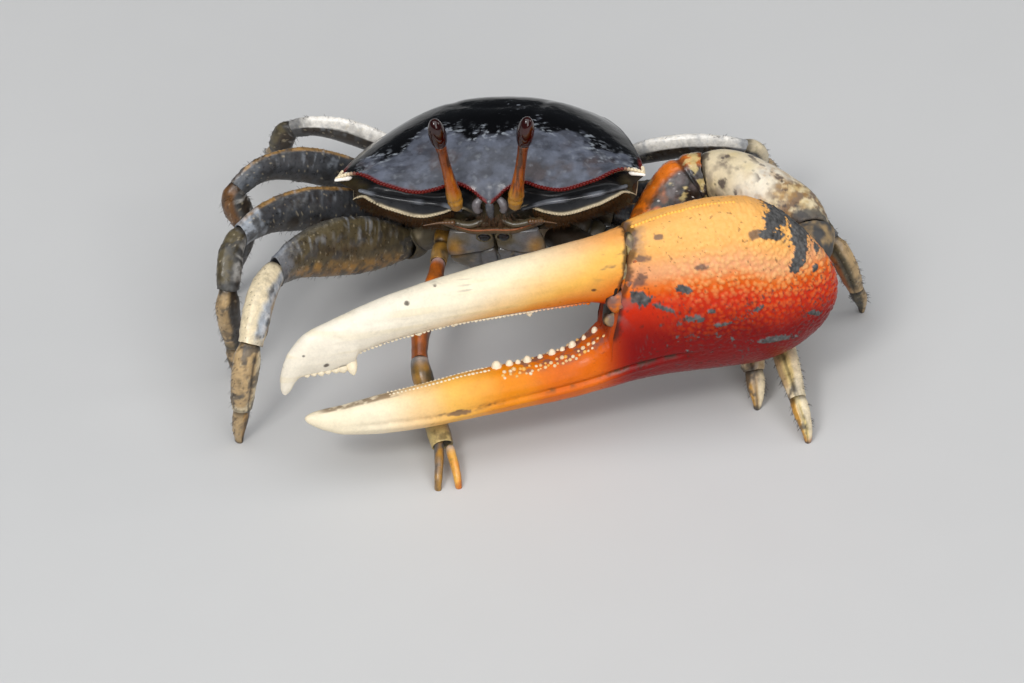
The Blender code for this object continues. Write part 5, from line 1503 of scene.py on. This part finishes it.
def buildArm():
    # merus of the large claw: orange above and at its base, dark and muddy on its face
    shape = limbGrid(claw["base"], claw["elbow"], claw["baseWay"], claw["elbowWay"], -back,
                     claw["merusOutline"], claw["merusHalf"], crest=0.15, step=0.14)
    p = shape["grid"].reshape(-1, 3)
    t, high, inside = shape["t"], shape["up"], shape["inside"]
    dots = grains(p, 0.5, 601)[0]
    height = 0.1 * noise(p, 2.0, 3, 603) + 0.05 * rise(0.45, 0.1, dots) * rise(0.2, 0.8, high)
    height += 0.12 * rise(0.5, 0.7, t) * noise(p, 0.7, 3, 605)
    collar = hill(t - 0.86, 0.025)
    height -= 0.3 * collar
    streaks = mottle(p * (1.0, 1.0, 0.25), -0.3, 0.4, 0.5, 3, 608) * rise(1.3, 0.9, high)
    grime = rise(0.42, 0.56, t + 0.2 * noise(p, 1.6, 4, 609)) * rise(0.97, 0.8, high)
    nearEnd = rise(0.08, 0.02, np.abs(t - 0.93))
    elbowPatch = rise(0.42, 0.6, noise(p, 0.9, 3, 613) + 0.4 * nearEnd) * rise(0.5, 0.7, t)
    tint = coated(
        hue["rust"], p,
        ("orange", 0.8, 1, -0.4, 0.6, 1.8, 3, 607),
        ("flame", 0.8, rise(0.1, 0.9, -high) * rise(0.6, 0.2, t)),
        ("bark", 0.6, streaks * 0.7 + 0.3 * rise(0.3, 0.12, t)),
        ("orange", 1, rise(0.85, 0.96, high) * rise(0.45, 0.6, t) * rise(0.9, 0.8, t) * 0.8),
        (blend(hue["umber"] * 0.5, hue["smoke"] * 0.7, mottle(p, -0.2, 0.6, 0.9, 3, 611)), 1, grime),
        ("straw", 0.9, elbowPatch * 0.8),
        ("umber", 0.35, rise(0.3, 0.1, t)),
        ("bone", 1, grime, 0.55, 0.68, 0.3, 2, 615),
        ("ink", 1, np.maximum(inside, collar * 0.8) * 0.9),
    )
    part = gridPart(pushed(shape["grid"], height * (1 - inside)), tint, 0.34)
    addPiece("armMerus", [part], "legSkin", ["claw_merus"])

    # carpus: cream, ochre along its upper edge, grey spots, pinkish brown towards the wrist
    shape = limbGrid(claw["elbow"], claw["wrist"], claw["elbowWay"], claw["wristWay"], up,
                     claw["carpusOutline"], claw["carpusHalf"], crest=0.0, step=0.135, bow=0.5)
    p = shape["grid"].reshape(-1, 3)
    t, high, inside = shape["t"], shape["up"], shape["inside"]
    dots = grains(p, 0.62, 621)[0]
    height = 0.12 * noise(p, 3.0, 2, 623) + 0.012 * noise(p, 0.4, 2, 625)
    height += 0.06 * rise(0.42, 0.1, dots) * rise(0.35, 0.8, t)
    z = p[:, 2]
    outerEdge = rise(0.1, 0.7, -high) * rise(26, 20, z)
    tint = coated(
        hue["cream"], p,
        ("straw", 1, 0.7, -0.2, 0.7, 2.6, 3, 627),
        ("ochre", 1, 0.55, 0.0, 0.7, 2.4, 3, 629),
    )
    tint = blend(tint, hue["smoke"], mottle(p, 0.0, 0.55, 1.2, 4, 630) * 0.5) * 0.92
    brown = rise(0.55, 0.75, t + 0.12 * noise(p, 1.4, 3, 631)) * mottle(p, -0.2, 0.2, 0.7, 4, 633)
    warp = 0.3 * noise(p, 0.5, 3, 636)
    spots = rise(0.36, 0.24, grains(p, 2.1, 637, 0.95)[0] + warp) * mottle(p, -0.3, 0.1, 3.0, 2, 639)
    small = rise(0.26, 0.14, grains(p, 0.9, 641, 0.95)[0]) * mottle(p, -0.2, 0.3, 2.0, 2, 643)
    mud = rise(0.80, 0.92, t + 0.2 * noise(p, 1.3, 4, 645)) * rise(-10.5, -12.5, p[:, 1])
    height += mud * (0.1 + 0.1 * noise(p, 0.5, 3, 647))
    tint = coated(
        tint, p,
        # painted highlight: a pale bone patch on the top of the carpus, along its middle
        ("bone", 1, rise(0.3, 0.5, t) * rise(0.7, 0.55, t) * rise(18, 20, z) * 0.5),
        (blend(hue["smoke"], hue["bark"], 0.4), 1, brown * 0.85),
        ("ochre", 0.8, rise(0.35, 0.5, t) * 0.4, -0.1, 0.3, 0.8, 3, 632),
        ("umber", 1, outerEdge * 0.4, 0, 0.6, 1.0, 3, 635),
        ("smoke", 0.6, spots * 0.85),
        ("umber", 1, small * 0.8),
        ("clay", 1, mud * 0.9),
        ("umber", 0.4, hill(t * shape["length"], 0.6) * 0.8),
        ("ink", 1, inside * 0.9),
    )
    part = gridPart(pushed(shape["grid"], height * (1 - inside)), tint, 0.33 + 0.2 * mud)
    addPiece("armCarpus", [part], "clawEnamel", ["claw_carpus"])
    print("arm made")


# Small feeding claw
feeder = {
    "joints": ((-6.0, -8.3, 8.9), (-8.0, -22.6, 7.0), (-6.9, -26.2, 4.2), (-5.4, -31.8, 2.4)),
    "root": (-5.0, -2.0, 10.4),
    "halves": {"merus": (1.8, 1.1), "carpus": (1.4, 1.2), "palm": (1.25, 1.35)},
    "outlines": {
        "merus": ((0.0, 0.6), (0.25, 0.85), (0.6, 1.0), (0.85, 0.85), (1.0, 0.68)),
        "carpus": ((0.0, 0.8), (0.4, 1.0), (0.75, 0.95), (1.0, 0.8)),
        "palm": ((0.0, 0.75), (0.3, 1.0), (0.7, 1.0), (1.0, 0.8)),
    },
    "fixedFinger": ((-6.15, -29.8, 2.8), (-5.9, -36.4, 0.0)),
    "movingFinger": ((-4.6, -32.0, 2.25), (-3.6, -36.1, 0.0)),
    "fingerHalf": (0.7, 0.55), "fingerOutline": ((0.0, 1.0), (0.4, 0.95), (0.75, 0.72), (1.0, 0.5)),
    "tones": {"merus": ("rust", "orange"), "carpus": ("ochre", "olive"), "palm": ("straw", "tan")},
}


def feederPart(start, end, startWay, endWay, outline, half, tones, seed, gaps=(1, 1), lip=True):
    shape = limbGrid(start, end, startWay, endWay, (-1, 0, 0), outline, half, gaps, step=0.12, lip=lip)
    p = shape["grid"].reshape(-1, 3)
    height = (0.05 * noise(p, 1.2, 3, seed) + 0.012 * noise(p, 0.3, 2, seed + 1)) * (1 - shape["inside"])
    tint = coated(
        hue[tones[0]] * 0.8, p,
        (hue[tones[1]] * 0.8, 1, 1, -0.3, 0.7, 1.5, 3, seed + 2),
        ("umber", 1, 0.6, 0.25, 0.7, 0.9, 4, seed + 3),
        ("umber", 0.5, rise(0.75, 0.95, -shape["side"]) * 0.6),
        ("pearl", 1, hill(shape["t"] * shape["length"], 0.5) * 0.5),
        ("ink", 1, shape["inside"] * 0.9),
    )
    return gridPart(pushed(shape["grid"], height), tint, 0.34)


def buildFeeder():
    joints = list(np.array(feeder["joints"]))
    ways = jointWays(joints)
    made = {}
    for i, name in enumerate(feeder["outlines"]):
        made[name] = feederPart(joints[i], joints[i + 1], ways[i], ways[i + 1], feeder["outlines"][name],
                                feeder["halves"][name], feeder["tones"][name], 700 + i * 10)
    fixed = feederPart(*feeder["fixedFinger"], ways[-1], -up, feeder["fingerOutline"], feeder["fingerHalf"],
                       ("ochre", "mud"), 740, (0, 0), False)
    moving = feederPart(*feeder["movingFinger"], ways[-1], -up, feeder["fingerOutline"], feeder["fingerHalf"],
                        ("amber", "orange"), 750, (2, 0), False)
    for name, node, parts in (("Merus", "merus", [made["merus"]]), ("Carpus", "carpus", [made["carpus"]]),
                              ("Palm", "palm", [made["palm"], fixed]), ("Finger", "dactyl", [moving])):
        addPiece("feeder" + name, parts, "legSkin", ["feeder_" + node])
    print("feeding claw made")


# Floor, light and camera
studio = {
    "floorSize": 3.0, "floorTone": (0.56, 0.555, 0.545), "target": (2.39, -14.13, 2.24), "distance": 1200.0,
    "elevation": 42.0, "lens": 371.25,
    "lights": (  # name, place in metres, size, power, colour
        ("overhead", (0.0, -0.22, 0.62), 1.0, 5.7, (0.95, 0.97, 1.0)),
        ("key", (-0.30, -0.50, 0.70), 0.2, 2.5, (1.0, 0.985, 0.96)),
        ("frontFill", (0.30, -0.85, 0.35), 0.4, 1.4, (1.0, 0.98, 0.95)),
        ("sideFill", (0.75, 0.1, 0.4), 0.3, 0.7, (1.0, 0.97, 0.93)),
    ),
    "sky": (0.80, 0.88, 1.0), "skyStrength": 0.11, "speck": 900.0, "sensor": 36.0, "clip": (0.01, 20.0),
}


def buildStudio():
    size = studio["floorSize"]
    mesh = bpy.data.meshes.new("studioFloor")
    corners = [(-size, -size, 0), (size, -size, 0), (size, size, 0), (-size, size, 0)]
    mesh.from_pydata(corners, [], [(0, 1, 2, 3)])
    floor = bpy.data.objects.new("studioFloor", mesh)
    bpy.context.scene.collection.objects.link(floor)
    paint = bpy.data.materials.new("floorPaint")
    paint.use_nodes = True
    shader = paint.node_tree.nodes["Principled BSDF"]
    speck = paint.node_tree.nodes.new("ShaderNodeTexNoise")
    speck.inputs["Scale"].default_value = studio["speck"]
    tone = paint.node_tree.nodes.new("ShaderNodeMapRange")
    for socket, value in zip((1, 2, 3, 4), (0.3, 0.7, 0.55, 0.65)):
        tone.inputs[socket].default_value = value
    paint.node_tree.links.new(speck.outputs["Fac"], tone.inputs[0])
    shader.inputs["Base Color"].default_value = (*studio["floorTone"], 1)
    paint.node_tree.links.new(tone.outputs[0], shader.inputs["Roughness"])
    mesh.materials.append(paint)

    scene = bpy.context.scene
    target = (np.array(studio["target"]) + originShift) * mm
    for name, place, wide, power, colour in studio["lights"]:
        lamp = bpy.data.lights.new(name, "AREA")
        lamp.size = wide
        lamp.energy = power
        lamp.color = colour
        holder = bpy.data.objects.new(name, lamp)
        holder.location = place
        way = unit(np.array(place) - target)
        holder.rotation_euler = (math.acos(way[2]), 0, math.atan2(way[0], -way[1]))
        scene.collection.objects.link(holder)
    world = bpy.data.worlds.new("studioSky")
    world.use_nodes = True
    world.node_tree.nodes["Background"].inputs["Color"].default_value = (*studio["sky"], 1)
    world.node_tree.nodes["Background"].inputs["Strength"].default_value = studio["skyStrength"]
    scene.world = world

    lens = bpy.data.cameras.new("camera")
    lens.lens = studio["lens"]
    lens.sensor_width = studio["sensor"]
    lens.clip_start, lens.clip_end = studio["clip"]
    camera = bpy.data.objects.new("camera", lens)
    tilt = math.radians(studio["elevation"])
    away = studio["distance"] * mm
    camera.location = target + np.array([0, -math.cos(tilt) * away, math.sin(tilt) * away])
    camera.rotation_euler = (math.pi / 2 - tilt, 0, 0)
    scene.collection.objects.link(camera)
    scene.camera = camera
    scene.view_settings.view_transform = "Standard"
    print("studio made")


for build in (buildShell, buildFace, buildEyes, buildUnderside, buildPalm, crestBeads, buildDactyl, buildArm,
              buildFeeder, buildLegs, buildStudio):
    build()
